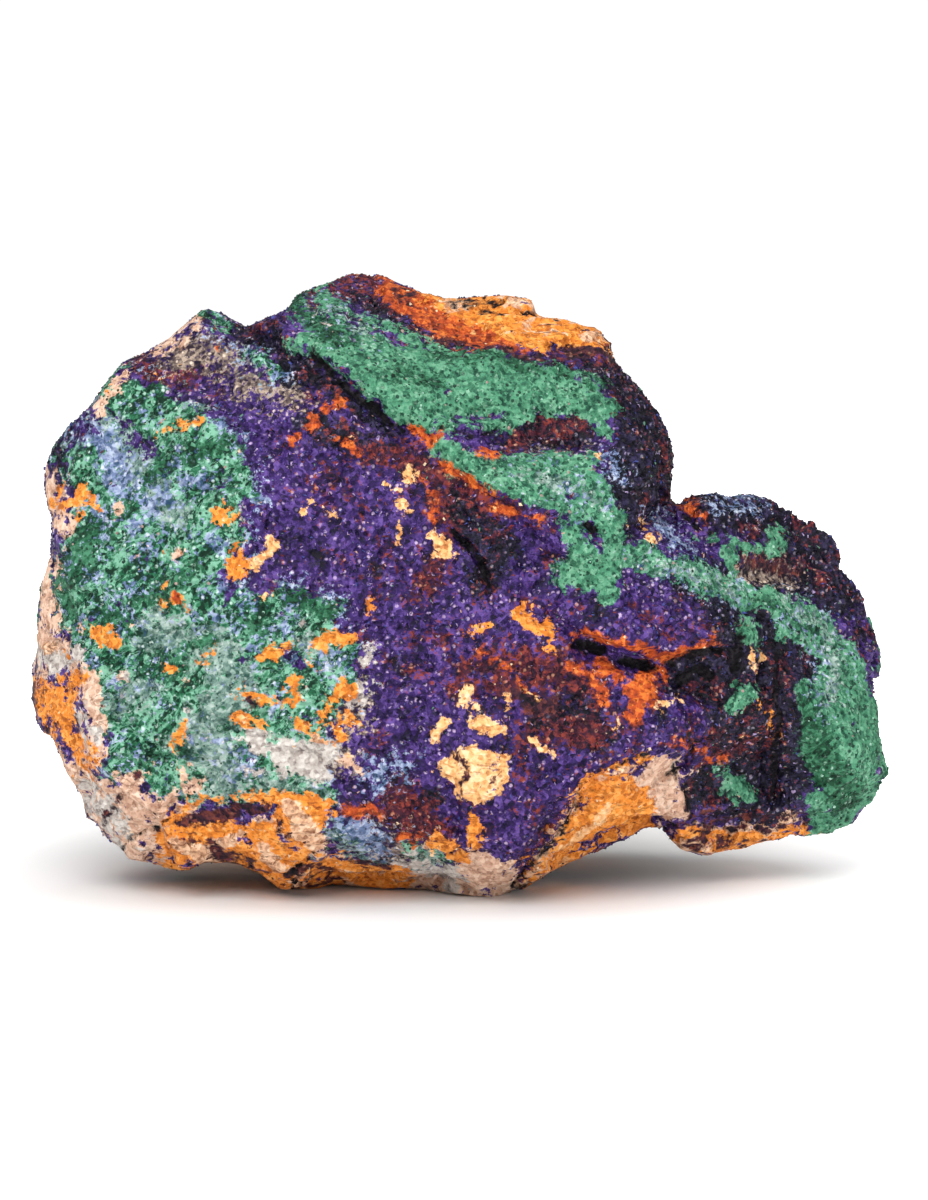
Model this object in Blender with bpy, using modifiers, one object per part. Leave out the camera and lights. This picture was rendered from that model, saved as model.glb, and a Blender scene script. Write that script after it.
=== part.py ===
"""Rough azurite malachite: one hand specimen of azurite and malachite grown on limonite and clay.

The stone is a single solid. Its form is what is left between a set of fracture faces, inside the
outline that the photograph shows. Ledges, hollows, clefts and chips are then pushed into its surface,
and it is cut off flat where it stands. Units are metres, +Z is up and the front looks along -Y.
"""

import math

import bmesh
import bpy
import numpy as np
from mathutils import Matrix, Vector

# Driving dimensions: the width, and the distance and height angle from which the outline was seen
STONE_WIDTH = 0.120
CAMERA_DISTANCE = 0.90
CAMERA_ELEVATION = math.radians(8.0)

# How far the side walls draw in at a depth, the power that they follow, and how soft edges are
WALL_ROUNDING = 0.0015
WALL_ROUNDING_DEPTH = 0.012
WALL_ROUNDING_POWER = 2.4
EDGE_SOFTNESS = 0.0009

# The depth at which the foot line is seen, and the middle of the footprint, which becomes the origin
FOOT_DEPTH = -0.008
FOOTPRINT_MIDDLE = (-0.0007, 0.0002)

# Mesh density
SPHERE_SUBDIVISIONS = 7
VOXEL = 0.0007
TRIANGLE_BUDGET = 8600

# The photograph's pixels: where its centre is, and how wide the stone stands in it
PHOTO_CENTRE = (464, 600)
OUTLINE_LEFT_PX = 28
OUTLINE_RIGHT_PX = 892
METRES_PER_PX = STONE_WIDTH / (OUTLINE_RIGHT_PX - OUTLINE_LEFT_PX)
FOOT_LINE_PX = 898
HEART_PX = (440, 610)

# The outline in the photograph's pixels, clockwise from the left, by stretch
LEFT_EDGE = [
    (28, 690), (29, 668), (36, 642), (38, 610), (42, 580),
    (51, 556), (53, 520), (44, 485), (44, 470), (54, 447),
]
TOP_LEFT = [(69, 427), (89, 409), (107, 383), (123, 363), (147, 353), (172, 336), (190, 321)]
LOW_PEAK = [(205, 309), (221, 314), (247, 328), (268, 319), (290, 309)]
HIGH_PEAK = [(296, 296), (328, 283), (356, 271), (382, 276)]
TOP_LEDGES = [
    (420, 293), (446, 299), (506, 296), (531, 300), (537, 318),
    (566, 320), (584, 327), (598, 324), (602, 334), (614, 342),
]
RIGHT_SHOULDER = [(616, 364), (640, 389), (662, 418), (670, 440), (674, 455), (670, 490)]
NOTCH = [(668, 505), (673, 511), (682, 503), (683, 497)]
RIGHT_LOBE = [
    (714, 494), (728, 498), (744, 495), (773, 496), (786, 504), (804, 508), (813, 520),
    (836, 534), (852, 550), (857, 573), (867, 605), (880, 636), (891, 670), (888, 684),
    (879, 700), (880, 735), (889, 758), (892, 780), (889, 800), (868, 815), (858, 833),
]
RIGHT_BASE = [(830, 837), (785, 842), (736, 852), (700, 856), (680, 849), (667, 836), (663, 828)]
ORANGE_SLAB_EDGE = [(645, 829), (620, 843), (578, 858), (550, 871), (522, 890), (500, 900)]
FOOT_EDGE = [(486, 900), (455, 893), (412, 892), (376, 887), (335, 884), (318, 888), (281, 889)]
LOWER_LEFT = [
    (262, 874), (240, 864), (204, 861), (188, 870), (172, 869), (152, 863), (131, 860), (119, 846),
    (107, 840), (98, 823), (87, 818), (82, 795), (67, 772), (53, 736), (40, 731), (34, 710),
]
OUTLINE = (
    LEFT_EDGE + TOP_LEFT + LOW_PEAK + HIGH_PEAK + TOP_LEDGES + RIGHT_SHOULDER
    + NOTCH + RIGHT_LOBE + RIGHT_BASE + ORANGE_SLAB_EDGE + FOOT_EDGE + LOWER_LEFT
)

# Fracture faces: a pixel on the face, its depth in metres behind the photograph's plane,
# and the way it faces as (right, away from the viewer, up)
FRACTURE_FACES = {
    "azurite_face": ((400, 620), -0.0240, (0.02, -1.00, -0.06)),
    "malachite_slope": ((470, 440), -0.0235, (0.12, -0.86, 0.42)),
    "orange_top": ((500, 350), -0.0155, (0.10, -0.52, 0.85)),
    "left_cheek": ((215, 580), -0.0225, (-0.42, -0.90, 0.06)),
    "left_rim": ((78, 600), -0.0120, (-0.85, -0.52, 0.00)),
    "top_left_slope": ((215, 400), -0.0190, (-0.25, -0.80, 0.55)),
    "lower_left_chamfer": ((190, 790), -0.0180, (-0.30, -0.78, -0.50)),
    "right_face": ((620, 610), -0.0225, (0.30, -0.95, 0.08)),
    "right_flank": ((800, 650), -0.0200, (0.60, -0.78, 0.12)),
    "right_shoulder": ((645, 420), -0.0150, (0.72, -0.62, 0.30)),
    "orange_slab": ((600, 805), -0.0165, (0.38, -0.72, -0.58)),
    "lower_right": ((770, 790), -0.0175, (0.25, -0.80, -0.50)),
    "base_chamfer": ((400, 852), -0.0175, (0.00, -0.66, -0.75)),
    "back": ((450, 560), 0.0240, (0.05, 0.98, 0.12)),
    "back_left": ((180, 600), 0.0180, (-0.62, 0.78, 0.05)),
    "back_left_rim": ((58, 560), 0.0100, (-0.92, 0.38, 0.10)),
    "back_right": ((760, 620), 0.0180, (0.55, 0.82, 0.10)),
    "back_right_rim": ((868, 660), 0.0080, (0.90, 0.42, 0.05)),
    "back_top": ((420, 400), 0.0190, (-0.08, 0.72, 0.68)),
    "back_right_top": ((630, 440), 0.0150, (0.55, 0.60, 0.58)),
    "back_bottom": ((420, 830), 0.0215, (0.05, 0.80, -0.60)),
    "back_lower_left": ((150, 790), 0.0125, (-0.50, 0.62, -0.60)),
    "back_lower_right": ((830, 812), 0.0120, (0.45, 0.65, -0.60)),
}

# Hollows and lumps of the front: centre, half-lengths along and across, turn of the long side in
# degrees anticlockwise, all in pixels, and the height in metres, below zero where it goes in
MOUNDS = {
    "shadow_cavity": ((700, 680), (52, 40), -20, -0.0042),
    "hollow_under_rim_left": ((592, 648), (20, 12), -20, -0.0022),
    "hollow_under_rim_right": ((632, 662), (30, 10), -5, -0.0024),
    "eye_hollow": ((470, 412), (52, 12), 6, -0.0016),
    "rusty_hollow": ((560, 432), (55, 24), 10, -0.0018),
    "right_pocket": ((745, 775), (45, 32), 0, -0.0022),
    "notch_hollow": ((694, 526), (26, 14), -38, -0.0028),
    "lobe_hollow": ((770, 575), (40, 14), 0, -0.0014),
    "pale_lump": ((470, 770), (44, 34), -10, 0.0014),
    "clay_floor": ((290, 755), (60, 30), -25, -0.0014),
    "green_mound": ((130, 580), (70, 60), 30, 0.0016),
    "green_swell_above": ((190, 455), (70, 30), 35, 0.0012),
    "blue_saddle": ((110, 455), (42, 34), 40, -0.0012),
    "right_green_roll": ((850, 720), (34, 95), 0, 0.0016),
    "purple_plate": ((640, 612), (70, 30), -4, 0.0015),
    "shoulder_swell": ((625, 460), (34, 44), 0, 0.0012),
    "bottom_bulge": ((300, 830), (60, 26), 5, 0.0014),
}

# Ledges of the front: the surface steps up on the left of each line as it is walked. Height and
# the distance over which the raised side fades back are in metres
LEDGES = {
    "malachite_overhang": ([(262, 340), (325, 367), (380, 407), (432, 432), (448, 462), (505, 503), (560, 545)],
                           0.0026, 0.013),
    "orange_rim": ([(570, 622), (600, 640), (662, 660), (715, 640)], 0.0022, 0.010),
    "clay_rim": ([(96, 405), (66, 520), (62, 620), (88, 700), (100, 770), (160, 815), (172, 860)],
                 0.0020, 0.012),
    "slab_crest": ([(505, 862), (560, 795), (640, 748), (692, 745)], 0.0018, 0.012),
    "top_flake": ([(430, 303), (470, 308), (545, 322)], 0.0012, 0.006),
    "base_ledge": ([(668, 815), (740, 812), (800, 815)], 0.0016, 0.008),
}

# Clefts of the front: a line in pixels, its half-width and its depth in metres
CLEFTS = {
    "upright_cleft": ([(772, 655), (777, 720), (774, 800)], 0.0010, 0.0024),
    "curved_crack": ([(452, 532), (478, 556), (494, 592)], 0.0006, 0.0012),
    "slab_crack": ([(690, 735), (688, 765), (660, 780)], 0.0006, 0.0012),
    "lobe_cleft": ([(672, 512), (655, 520), (640, 530)], 0.0009, 0.0018),
}

# Chips and swells all over: cell size, height and seed
COARSE_CHIPS = (0.0135, 0.0034, 11)
MIDDLE_CHIPS = (0.0062, 0.0016, 23)
FINE_CHIPS = (0.0030, 0.0006, 37)
SWELLS = (0.022, 0.0022, 5)

# Their share on the front, and on the band of the side walls that draws the outline: how wide that
# band is on the front, and at what depths it ends
FRONT_SHARE_OF_CHIPS = 0.35
OUTLINE_SHARE_OF_CHIPS = 0.16
OUTLINE_BAND = 0.0020
OUTLINE_BAND_DEPTH = (0.0022, 0.0056)

# How the hand-drawn lines of the front wander: cell size, reach and seed
RAGGED = (0.0055, 0.0011, 53)

# How fast a ledge rises, from just below its line to just above it
LEDGE_RISE = (-0.0004, 0.0006)
BISECTION_STEPS = 22

STONE_NAME = "azurite_malachite_stone"
STONE_COLOUR = (0.085, 0.060, 0.155, 1.0)
STONE_ROUGHNESS = 0.72


def clear_scene():
    """Removes every object that the scene starts with."""
    for thing in list(bpy.data.objects):
        bpy.data.objects.remove(thing, do_unlink=True)


def in_view(pixel):
    """The place of a pixel on the photograph's plane, right and up from its centre, in metres."""
    return np.array([
        (pixel[0] - PHOTO_CENTRE[0]) * METRES_PER_PX,
        (PHOTO_CENTRE[1] - pixel[1]) * METRES_PER_PX,
    ])


def smooth_step(low, high, value):
    """0 below low, 1 above high and a smooth rise between them."""
    t = np.clip((value - low) / (high - low), 0.0, 1.0)
    return t * t * (3.0 - 2.0 * t)


def hash01(cells, seed):
    """A repeatable number from 0 to 1 for each whole-number cell."""
    c = cells.astype(np.int64).astype(np.uint32)
    h = c[:, 0] * np.uint32(374761393) + c[:, 1] * np.uint32(668265263)
    h = h + c[:, 2] * np.uint32(2246822519) + np.uint32(seed * 3266489917 & 0xFFFFFFFF)
    h = (h ^ (h >> np.uint32(13))) * np.uint32(1274126177)
    h = (h ^ (h >> np.uint32(15))) * np.uint32(2246822519)
    return (h ^ (h >> np.uint32(16))) / 4294967296.0


def swell(points, cell, seed):
    """Smooth noise from -1 to 1: random values at the corners of cubes, blended inside them."""
    scaled = points / cell
    base = np.floor(scaled)
    t = scaled - base
    t = t * t * (3.0 - 2.0 * t)
    total = np.zeros(len(points))
    for corner in np.ndindex(2, 2, 2):
        weight = np.ones(len(points))
        for axis in range(3):
            weight *= t[:, axis] if corner[axis] else 1.0 - t[:, axis]
        total += weight * hash01(base + corner, seed)
    return total * 2.0 - 1.0


def chips(points, cell, seed):
    """Flat chips from about -1 to 1: each point belongs to its nearest seed, which tilts and lifts it."""
    scaled = points / cell
    base = np.floor(scaled)
    nearest = np.full(len(points), 1e9)
    height = np.zeros(len(points))
    for step in np.ndindex(3, 3, 3):
        corner = base + np.array(step) - 1.0
        centre = corner + np.stack([hash01(corner, seed + k) for k in range(3)], axis=1)
        away = scaled - centre
        distance = np.einsum("ij,ij->i", away, away)
        tilt = np.stack([hash01(corner, seed + 3 + k) for k in range(3)], axis=1) * 2.0 - 1.0
        lift = hash01(corner, seed + 6) * 2.0 - 1.0
        value = 0.45 * lift + 0.8 * np.einsum("ij,ij->i", away, tilt)
        closer = distance < nearest
        nearest = np.where(closer, distance, nearest)
        height = np.where(closer, value, height)
    return height


def line_offset(flat, line):
    """Distance of each flat point from a line of pixels, below zero on the line's right."""
    knots = np.array([in_view(p) for p in line])
    best = np.full(len(flat), 1e9)
    side = np.ones(len(flat))
    for start, end in zip(knots[:-1], knots[1:]):
        along = end - start
        share = np.clip(((flat - start) @ along) / (along @ along), 0.0, 1.0)
        away = flat - start - share[:, None] * along
        distance = np.hypot(away[:, 0], away[:, 1])
        turn = along[0] * (flat[:, 1] - start[1]) - along[1] * (flat[:, 0] - start[0])
        closer = distance < best - 1e-9
        best = np.where(closer, distance, best)
        side = np.where(closer, np.sign(turn), side)
    return best * side


def outline_offset(flat):
    """Distance of each flat point from the outline, below zero inside it."""
    knots = np.array([in_view(p) for p in OUTLINE])
    best = np.full(len(flat), 1e9)
    inside = np.zeros(len(flat), dtype=bool)
    for start, end in zip(knots, np.roll(knots, -1, axis=0)):
        along = end - start
        share = np.clip(((flat - start) @ along) / (along @ along), 0.0, 1.0)
        away = flat - start - share[:, None] * along
        best = np.minimum(best, np.hypot(away[:, 0], away[:, 1]))
        spans = (start[1] > flat[:, 1]) != (end[1] > flat[:, 1])
        if start[1] != end[1]:
            crossing = start[0] + (flat[:, 1] - start[1]) / (end[1] - start[1]) * along[0]
            inside ^= spans & (flat[:, 0] < crossing)
    return np.where(inside, -best, best)


def stone_field(view):
    """How far outside the stone each point (right, away, up) lies: the softened largest of its
    distance outside the outline, drawn in with depth, and outside every fracture face."""
    depth = np.abs(view[:, 1])
    drawn_in = WALL_ROUNDING * (depth / WALL_ROUNDING_DEPTH) ** WALL_ROUNDING_POWER
    fields = [outline_offset(view[:, [0, 2]]) + drawn_in]
    for pixel, away, facing in FRACTURE_FACES.values():
        u, v = in_view(pixel)
        normal = np.array(facing) / np.linalg.norm(facing)
        fields.append((view - np.array([u, away, v])) @ normal)
    fields = np.array(fields)
    top = fields.max(axis=0)
    return top + EDGE_SOFTNESS * np.log(np.exp((fields - top) / EDGE_SOFTNESS).sum(axis=0))


def relief(view, normals):
    """How far each point of the surface is pushed out along its normal: mounds, ledges and clefts
    on the front, swells and chips everywhere, weaker on the front and where the outline lies.
    Nothing is pushed out past the outline."""
    flat = view[:, [0, 2]]
    room = -outline_offset(flat)
    ragged_cell, ragged_by, ragged_seed = RAGGED
    ragged = [swell(view, ragged_cell, ragged_seed + axis) for axis in range(2)]
    flat = flat + ragged_by * np.stack(ragged, axis=1)
    front = smooth_step(0.05, 0.45, -normals[:, 1])
    height = np.zeros(len(view))
    for pixel, (half_long, half_across), turn, lift in MOUNDS.values():
        away = (flat - in_view(pixel)) / METRES_PER_PX
        c, s = math.cos(math.radians(turn)), math.sin(math.radians(turn))
        along = (away[:, 0] * c + away[:, 1] * s) / half_long
        across = (away[:, 1] * c - away[:, 0] * s) / half_across
        height += front * lift * np.exp(-(along**2 + across**2) ** 1.5)
    for line, lift, reach in LEDGES.values():
        offset = line_offset(flat, line)
        rise = smooth_step(*LEDGE_RISE, offset) * (1.0 - smooth_step(0.0, reach, offset))
        ends = 1.0 - smooth_step(0.0, reach, np.abs(offset))
        height += front * lift * rise * ends
    for line, half_width, depth in CLEFTS.values():
        offset = np.abs(line_offset(flat, line))
        height -= front * depth * np.exp(-((offset / half_width) ** 2))
    rim = 1.0 - smooth_step(0.0, OUTLINE_BAND, room)
    rim *= 1.0 - smooth_step(*OUTLINE_BAND_DEPTH, np.abs(view[:, 1]))
    share = 1.0 - front * (1.0 - FRONT_SHARE_OF_CHIPS)
    share *= 1.0 - rim * (1.0 - OUTLINE_SHARE_OF_CHIPS)
    rough = SWELLS[1] * swell(view, SWELLS[0], SWELLS[2])
    for cell, lift, seed in (COARSE_CHIPS, MIDDLE_CHIPS, FINE_CHIPS):
        rough += lift * chips(view, cell, seed)
    return np.minimum(height + share * rough, np.maximum(room, 0.0))


def world_from_view(view):
    """Takes points (right, away, up) as the camera sees them to the upright frame: deeper points
    spread with distance, and the whole is tilted by the camera's elevation."""
    spread = 1.0 + view[:, 1] / CAMERA_DISTANCE
    right, up = view[:, 0] * spread, view[:, 2] * spread
    c, s = math.cos(CAMERA_ELEVATION), math.sin(CAMERA_ELEVATION)
    return np.stack([right, view[:, 1] * c + up * s, up * c - view[:, 1] * s], axis=1)


def get_points(mesh):
    """The vertices of a mesh as an array."""
    points = np.empty(len(mesh.vertices) * 3)
    mesh.vertices.foreach_get("co", points)
    return points.reshape(-1, 3)


def set_points(mesh, points):
    """Writes the vertices of a mesh from an array."""
    mesh.vertices.foreach_set("co", np.ascontiguousarray(points).ravel())
    mesh.update()


def get_normals(mesh):
    """The vertex normals of a mesh as an array."""
    normals = np.empty(len(mesh.vertices) * 3, dtype=np.float32)
    mesh.vertex_normals.foreach_get("vector", normals)
    return normals.reshape(-1, 3).astype(float)


def bake_modifiers(thing):
    """Replaces an object's mesh by what its modifiers make of it."""
    depsgraph = bpy.context.evaluated_depsgraph_get()
    made = bpy.data.meshes.new_from_object(thing.evaluated_get(depsgraph))
    thing.modifiers.clear()
    thing.data = made


def rough_form():
    """A ball whose points are moved out from the stone's heart until they meet its field, then
    remeshed into even faces."""
    bpy.ops.mesh.primitive_ico_sphere_add(subdivisions=SPHERE_SUBDIVISIONS, radius=1.0)
    stone = bpy.context.object
    stone.name = STONE_NAME
    directions = get_points(stone.data)
    directions *= np.array([STONE_WIDTH * 0.5, STONE_WIDTH * 0.24, STONE_WIDTH * 0.37])
    directions /= np.linalg.norm(directions, axis=1)[:, None]
    heart_right, heart_up = in_view(HEART_PX)
    heart = np.array([heart_right, 0.0, heart_up])
    near = np.zeros(len(directions))
    far = np.full(len(directions), STONE_WIDTH * 0.7)
    for _ in range(BISECTION_STEPS):
        middle = (near + far) / 2.0
        outside = stone_field(heart + directions * middle[:, None]) > 0.0
        far = np.where(outside, middle, far)
        near = np.where(outside, near, middle)
    set_points(stone.data, heart + directions * near[:, None])
    remesh = stone.modifiers.new("even_faces", "REMESH")
    remesh.mode = "VOXEL"
    remesh.voxel_size = VOXEL
    bake_modifiers(stone)
    return stone


def add_relief(stone):
    """Pushes the ledges, hollows, clefts and chips into the even surface."""
    view = get_points(stone.data)
    normals = get_normals(stone.data)
    set_points(stone.data, view + normals * relief(view, normals)[:, None])
    tidy = stone.modifiers.new("even_again", "REMESH")
    tidy.mode = "VOXEL"
    tidy.voxel_size = VOXEL
    bake_modifiers(stone)


def thin_faces(stone):
    """Keeps faces where the surface turns and merges them where it is plain."""
    decimate = stone.modifiers.new("thin_faces", "DECIMATE")
    triangles = sum(len(face.vertices) - 2 for face in stone.data.polygons)
    decimate.ratio = TRIANGLE_BUDGET / triangles
    decimate.use_collapse_triangulate = True
    bake_modifiers(stone)


def keep_largest_body(bm):
    """Deletes every loose scrap of a mesh but the piece with the most vertices."""
    left = set(bm.verts)
    bodies = []
    while left:
        body, edge_of_body = set(), [left.pop()]
        while edge_of_body:
            vertex = edge_of_body.pop()
            body.add(vertex)
            for edge in vertex.link_edges:
                other = edge.other_vert(vertex)
                if other in left:
                    left.remove(other)
                    edge_of_body.append(other)
        bodies.append(body)
    largest = max(bodies, key=len)
    scraps = [vertex for vertex in bm.verts if vertex not in largest]
    bmesh.ops.delete(bm, geom=scraps, context="VERTS")


def stand_on_foot(stone):
    """Turns the stone upright, cuts it off flat where it stands and centres it over the origin."""
    set_points(stone.data, world_from_view(get_points(stone.data)))
    _, foot_up = in_view((PHOTO_CENTRE[0], FOOT_LINE_PX))
    foot = world_from_view(np.array([[0.0, FOOT_DEPTH, foot_up]]))[0]
    bm = bmesh.new()
    bm.from_mesh(stone.data)
    everything = bm.verts[:] + bm.edges[:] + bm.faces[:]
    cut = bmesh.ops.bisect_plane(
        bm, geom=everything, dist=1e-7, plane_co=Vector(foot), plane_no=Vector((0, 0, -1)), clear_outer=True
    )
    keep_largest_body(bm)
    rim = [part for part in cut["geom_cut"] if part.is_valid and isinstance(part, bmesh.types.BMEdge)]
    bmesh.ops.holes_fill(bm, edges=rim, sides=0)
    bmesh.ops.dissolve_degenerate(bm, dist=1e-6, edges=bm.edges[:])
    bmesh.ops.triangulate(bm, faces=bm.faces[:])
    bmesh.ops.recalc_face_normals(bm, faces=bm.faces[:])
    bm.to_mesh(stone.data)
    bm.free()
    middle_x, middle_y = FOOTPRINT_MIDDLE
    stone.data.transform(Matrix.Translation((-middle_x, -middle_y, -foot[2])))


def stone_material():
    """The dull purple-blue that the whole stone has from a step away."""
    material = bpy.data.materials.new("azurite_malachite")
    material.use_nodes = True
    surface = material.node_tree.nodes["Principled BSDF"]
    surface.inputs["Base Color"].default_value = STONE_COLOUR
    surface.inputs["Roughness"].default_value = STONE_ROUGHNESS
    surface.inputs["Metallic"].default_value = 0.0
    return material


def main():
    """Builds the stone in a collection named for it."""
    clear_scene()
    stone = rough_form()
    add_relief(stone)
    thin_faces(stone)
    stand_on_foot(stone)
    stone.data.materials.clear()
    stone.data.materials.append(stone_material())
    collection = bpy.data.collections.new("azurite_malachite")
    bpy.context.scene.collection.children.link(collection)
    for owner in list(stone.users_collection):
        owner.objects.unlink(stone)
    collection.objects.link(stone)


main()
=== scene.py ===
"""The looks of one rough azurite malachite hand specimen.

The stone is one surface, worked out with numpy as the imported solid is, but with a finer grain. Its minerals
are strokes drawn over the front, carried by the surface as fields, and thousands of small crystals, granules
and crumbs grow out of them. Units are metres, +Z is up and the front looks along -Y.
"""

import logging
import math
from collections.abc import Iterable
from dataclasses import dataclass, field
from enum import Enum
from itertools import chain

import bpy
import numpy as np
from bpy.types import Material, Mesh, Node, NodeTree, Object
from bpy.types import NodeSocket as Socket
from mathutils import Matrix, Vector


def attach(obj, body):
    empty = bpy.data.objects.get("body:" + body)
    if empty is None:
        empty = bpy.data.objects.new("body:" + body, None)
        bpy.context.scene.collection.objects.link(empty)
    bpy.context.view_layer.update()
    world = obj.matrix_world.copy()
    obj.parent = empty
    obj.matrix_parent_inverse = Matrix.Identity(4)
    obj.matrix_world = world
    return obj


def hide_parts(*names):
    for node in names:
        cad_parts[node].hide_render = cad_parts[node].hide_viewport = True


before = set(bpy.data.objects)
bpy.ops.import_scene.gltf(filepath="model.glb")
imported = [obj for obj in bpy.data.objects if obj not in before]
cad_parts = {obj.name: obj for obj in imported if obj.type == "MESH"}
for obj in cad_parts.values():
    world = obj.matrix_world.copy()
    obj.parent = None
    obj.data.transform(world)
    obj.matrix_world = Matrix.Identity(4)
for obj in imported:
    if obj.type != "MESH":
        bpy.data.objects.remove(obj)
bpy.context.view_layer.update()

STONE_NODE = "azurite_malachite_stone"
BODY = "root"
MILLIMETRE = 0.001

# A noise is its cell size and seed, and a swing has its reach between them, both sizes in metres
Array = np.ndarray
Colour = tuple[float, float, float]
Place = tuple[float, float, float]
Span = tuple[float, float]
Noise = tuple[float, int]
Swing = tuple[float, float, int]
Stroke = tuple[float, ...]
Strokes = dict[str, tuple[Stroke, ...]]

log = logging.getLogger("stone")


class Mineral(Enum):
    """The minerals and stains that the surface shows, in the order in which they cover each other. Three of
    them are painted shade as well: the dark azurite and shade, the dark green and shade, and the shaded
    hollows, which are near-black painted shade.
    """

    AZURITE = "azurite"
    # Dark azurite and painted shade: near black where faces turn from the light, under the green crust and in
    # the hollows
    NIGHT = "night"
    STAIN = "stain"
    MATRIX = "matrix"
    EMERALD = "emerald"
    MALACHITE = "malachite"
    VERDIGRIS = "verdigris"
    # Dark green banding and painted shade over the green minerals
    MOSS = "moss"
    BLOOM = "bloom"
    CLAY = "clay"
    CHALK = "chalk"
    LIMONITE = "limonite"
    EMBER = "ember"
    FLAKE = "flake"
    PEACH = "peach"
    UMBER = "umber"
    # Painted shade: near black in cracks and cavities, under the green crust's overhang and along edges
    # turned from the light; the relief also presses these places in
    HOLLOW = "hollow"


(AZURITE, NIGHT, STAIN, MATRIX, EMERALD, MALACHITE, VERDIGRIS, MOSS, BLOOM, CLAY, CHALK, LIMONITE,
 EMBER, FLAKE, PEACH, UMBER, HOLLOW) = Mineral


@dataclass(frozen=True)
class Finish:
    """One mineral's look: three tones and the colour of its painted glints, how strongly the tones mix, and
    how it shines. Its specks are painted glints in that colour, and its pores are small pits painted dark as
    shade.

    `reach` is how far its edge wanders and `soft` how blurred it is, both in millimetres. `veins` is
    how strongly pale streaks run through it, and `cracks` how strongly dark ones do.
    """

    deep: Colour
    main: Colour
    pale: Colour
    glint_colour: Colour
    contrast: float
    roughness: float
    glint_specks: float
    shaded_pores: float
    reach: float
    soft: float
    veins: float = 0.0
    cracks: float = 0.0


FINISHES: dict[Mineral, Finish] = {
    AZURITE: Finish((0.005, 0.002, 0.02), (0.034, 0.013, 0.108), (0.12, 0.064, 0.275),
        (0.52, 0.38, 0.6), 1.25, 0.42, 0.9, 0.85, 1.0, 0.2),
    # Near black: dark azurite, and painted shade where the front turns from the light
    NIGHT: Finish((0.001, 0.001, 0.003), (0.006, 0.005, 0.015), (0.036, 0.028, 0.08),
        (0.36, 0.32, 0.42), 1.2, 0.45, 0.6, 0.8, 4.0, 0.45),
    STAIN: Finish((0.006, 0.002, 0.01), (0.06, 0.011, 0.024), (0.23, 0.038, 0.026),
        (0.56, 0.25, 0.15), 1.3, 0.6, 0.7, 0.8, 6.0, 0.7),
    MATRIX: Finish((0.024, 0.014, 0.026), (0.15, 0.11, 0.095), (0.4, 0.31, 0.24),
        (0.74, 0.6, 0.48), 1.5, 0.72, 0.9, 0.9, 6.5, 0.45, cracks=0.3),
    EMERALD: Finish((0.002, 0.022, 0.011), (0.02, 0.142, 0.066), (0.19, 0.43, 0.3),
        (0.5, 0.7, 0.6), 2.1, 0.55, 0.85, 0.95, 1.8, 0.2, veins=0.95),
    MALACHITE: Finish((0.008, 0.05, 0.03), (0.066, 0.245, 0.138), (0.17, 0.39, 0.25),
        (0.31, 0.53, 0.39), 1.1, 0.62, 0.5, 0.95, 1.6, 0.14, cracks=0.2),
    VERDIGRIS: Finish((0.025, 0.075, 0.06), (0.15, 0.25, 0.21), (0.38, 0.48, 0.43),
        (0.6, 0.68, 0.64), 1.4, 0.66, 0.7, 0.8, 6.5, 0.5, veins=0.4),
    # Dark green: banding, and painted shade over the green
    MOSS: Finish((0.002, 0.014, 0.007), (0.014, 0.09, 0.042), (0.065, 0.23, 0.13),
        (0.3, 0.5, 0.38), 1.3, 0.58, 0.6, 0.9, 2.8, 0.35, veins=0.35),
    BLOOM: Finish((0.022, 0.06, 0.12), (0.15, 0.2, 0.36), (0.42, 0.49, 0.64),
        (0.66, 0.71, 0.8), 1.3, 0.62, 0.75, 0.8, 7.0, 0.4, veins=0.4),
    CLAY: Finish((0.3, 0.14, 0.085), (0.66, 0.42, 0.3), (0.86, 0.67, 0.53),
        (0.92, 0.78, 0.66), 0.75, 0.85, 0.3, 0.45, 2.2, 0.2, cracks=0.6),
    CHALK: Finish((0.17, 0.13, 0.12), (0.5, 0.45, 0.41), (0.76, 0.72, 0.67),
        (0.86, 0.82, 0.78), 0.8, 0.85, 0.3, 0.5, 2.4, 0.3, cracks=0.4),
    LIMONITE: Finish((0.3, 0.075, 0.016), (0.8, 0.25, 0.03), (0.93, 0.45, 0.12),
        (0.94, 0.66, 0.38), 0.85, 0.68, 0.3, 0.4, 1.9, 0.16, cracks=0.6),
    EMBER: Finish((0.1, 0.014, 0.01), (0.46, 0.068, 0.014), (0.82, 0.21, 0.035),
        (0.86, 0.4, 0.16), 1.0, 0.6, 0.2, 0.7, 1.3, 0.25, cracks=0.2),
    FLAKE: Finish((0.2, 0.075, 0.035), (0.74, 0.43, 0.26), (0.92, 0.7, 0.5),
        (0.94, 0.8, 0.66), 0.9, 0.8, 0.3, 0.6, 0.9, 0.16, cracks=0.8),
    PEACH: Finish((0.46, 0.16, 0.045), (0.88, 0.47, 0.19), (0.96, 0.71, 0.44),
        (0.97, 0.84, 0.66), 0.9, 0.72, 0.3, 0.6, 1.4, 0.14, cracks=0.7),
    UMBER: Finish((0.004, 0.002, 0.006), (0.04, 0.011, 0.022), (0.15, 0.036, 0.026),
        (0.4, 0.2, 0.12), 1.2, 0.62, 0.5, 0.7, 1.2, 0.25),
    # Near-black painted shade
    HOLLOW: Finish((0.001, 0.001, 0.001), (0.003, 0.002, 0.004), (0.04, 0.035, 0.04),
        (0.1, 0.08, 0.1), 0.7, 0.7, 0.1, 0.3, 0.7, 0.22),
}
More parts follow.
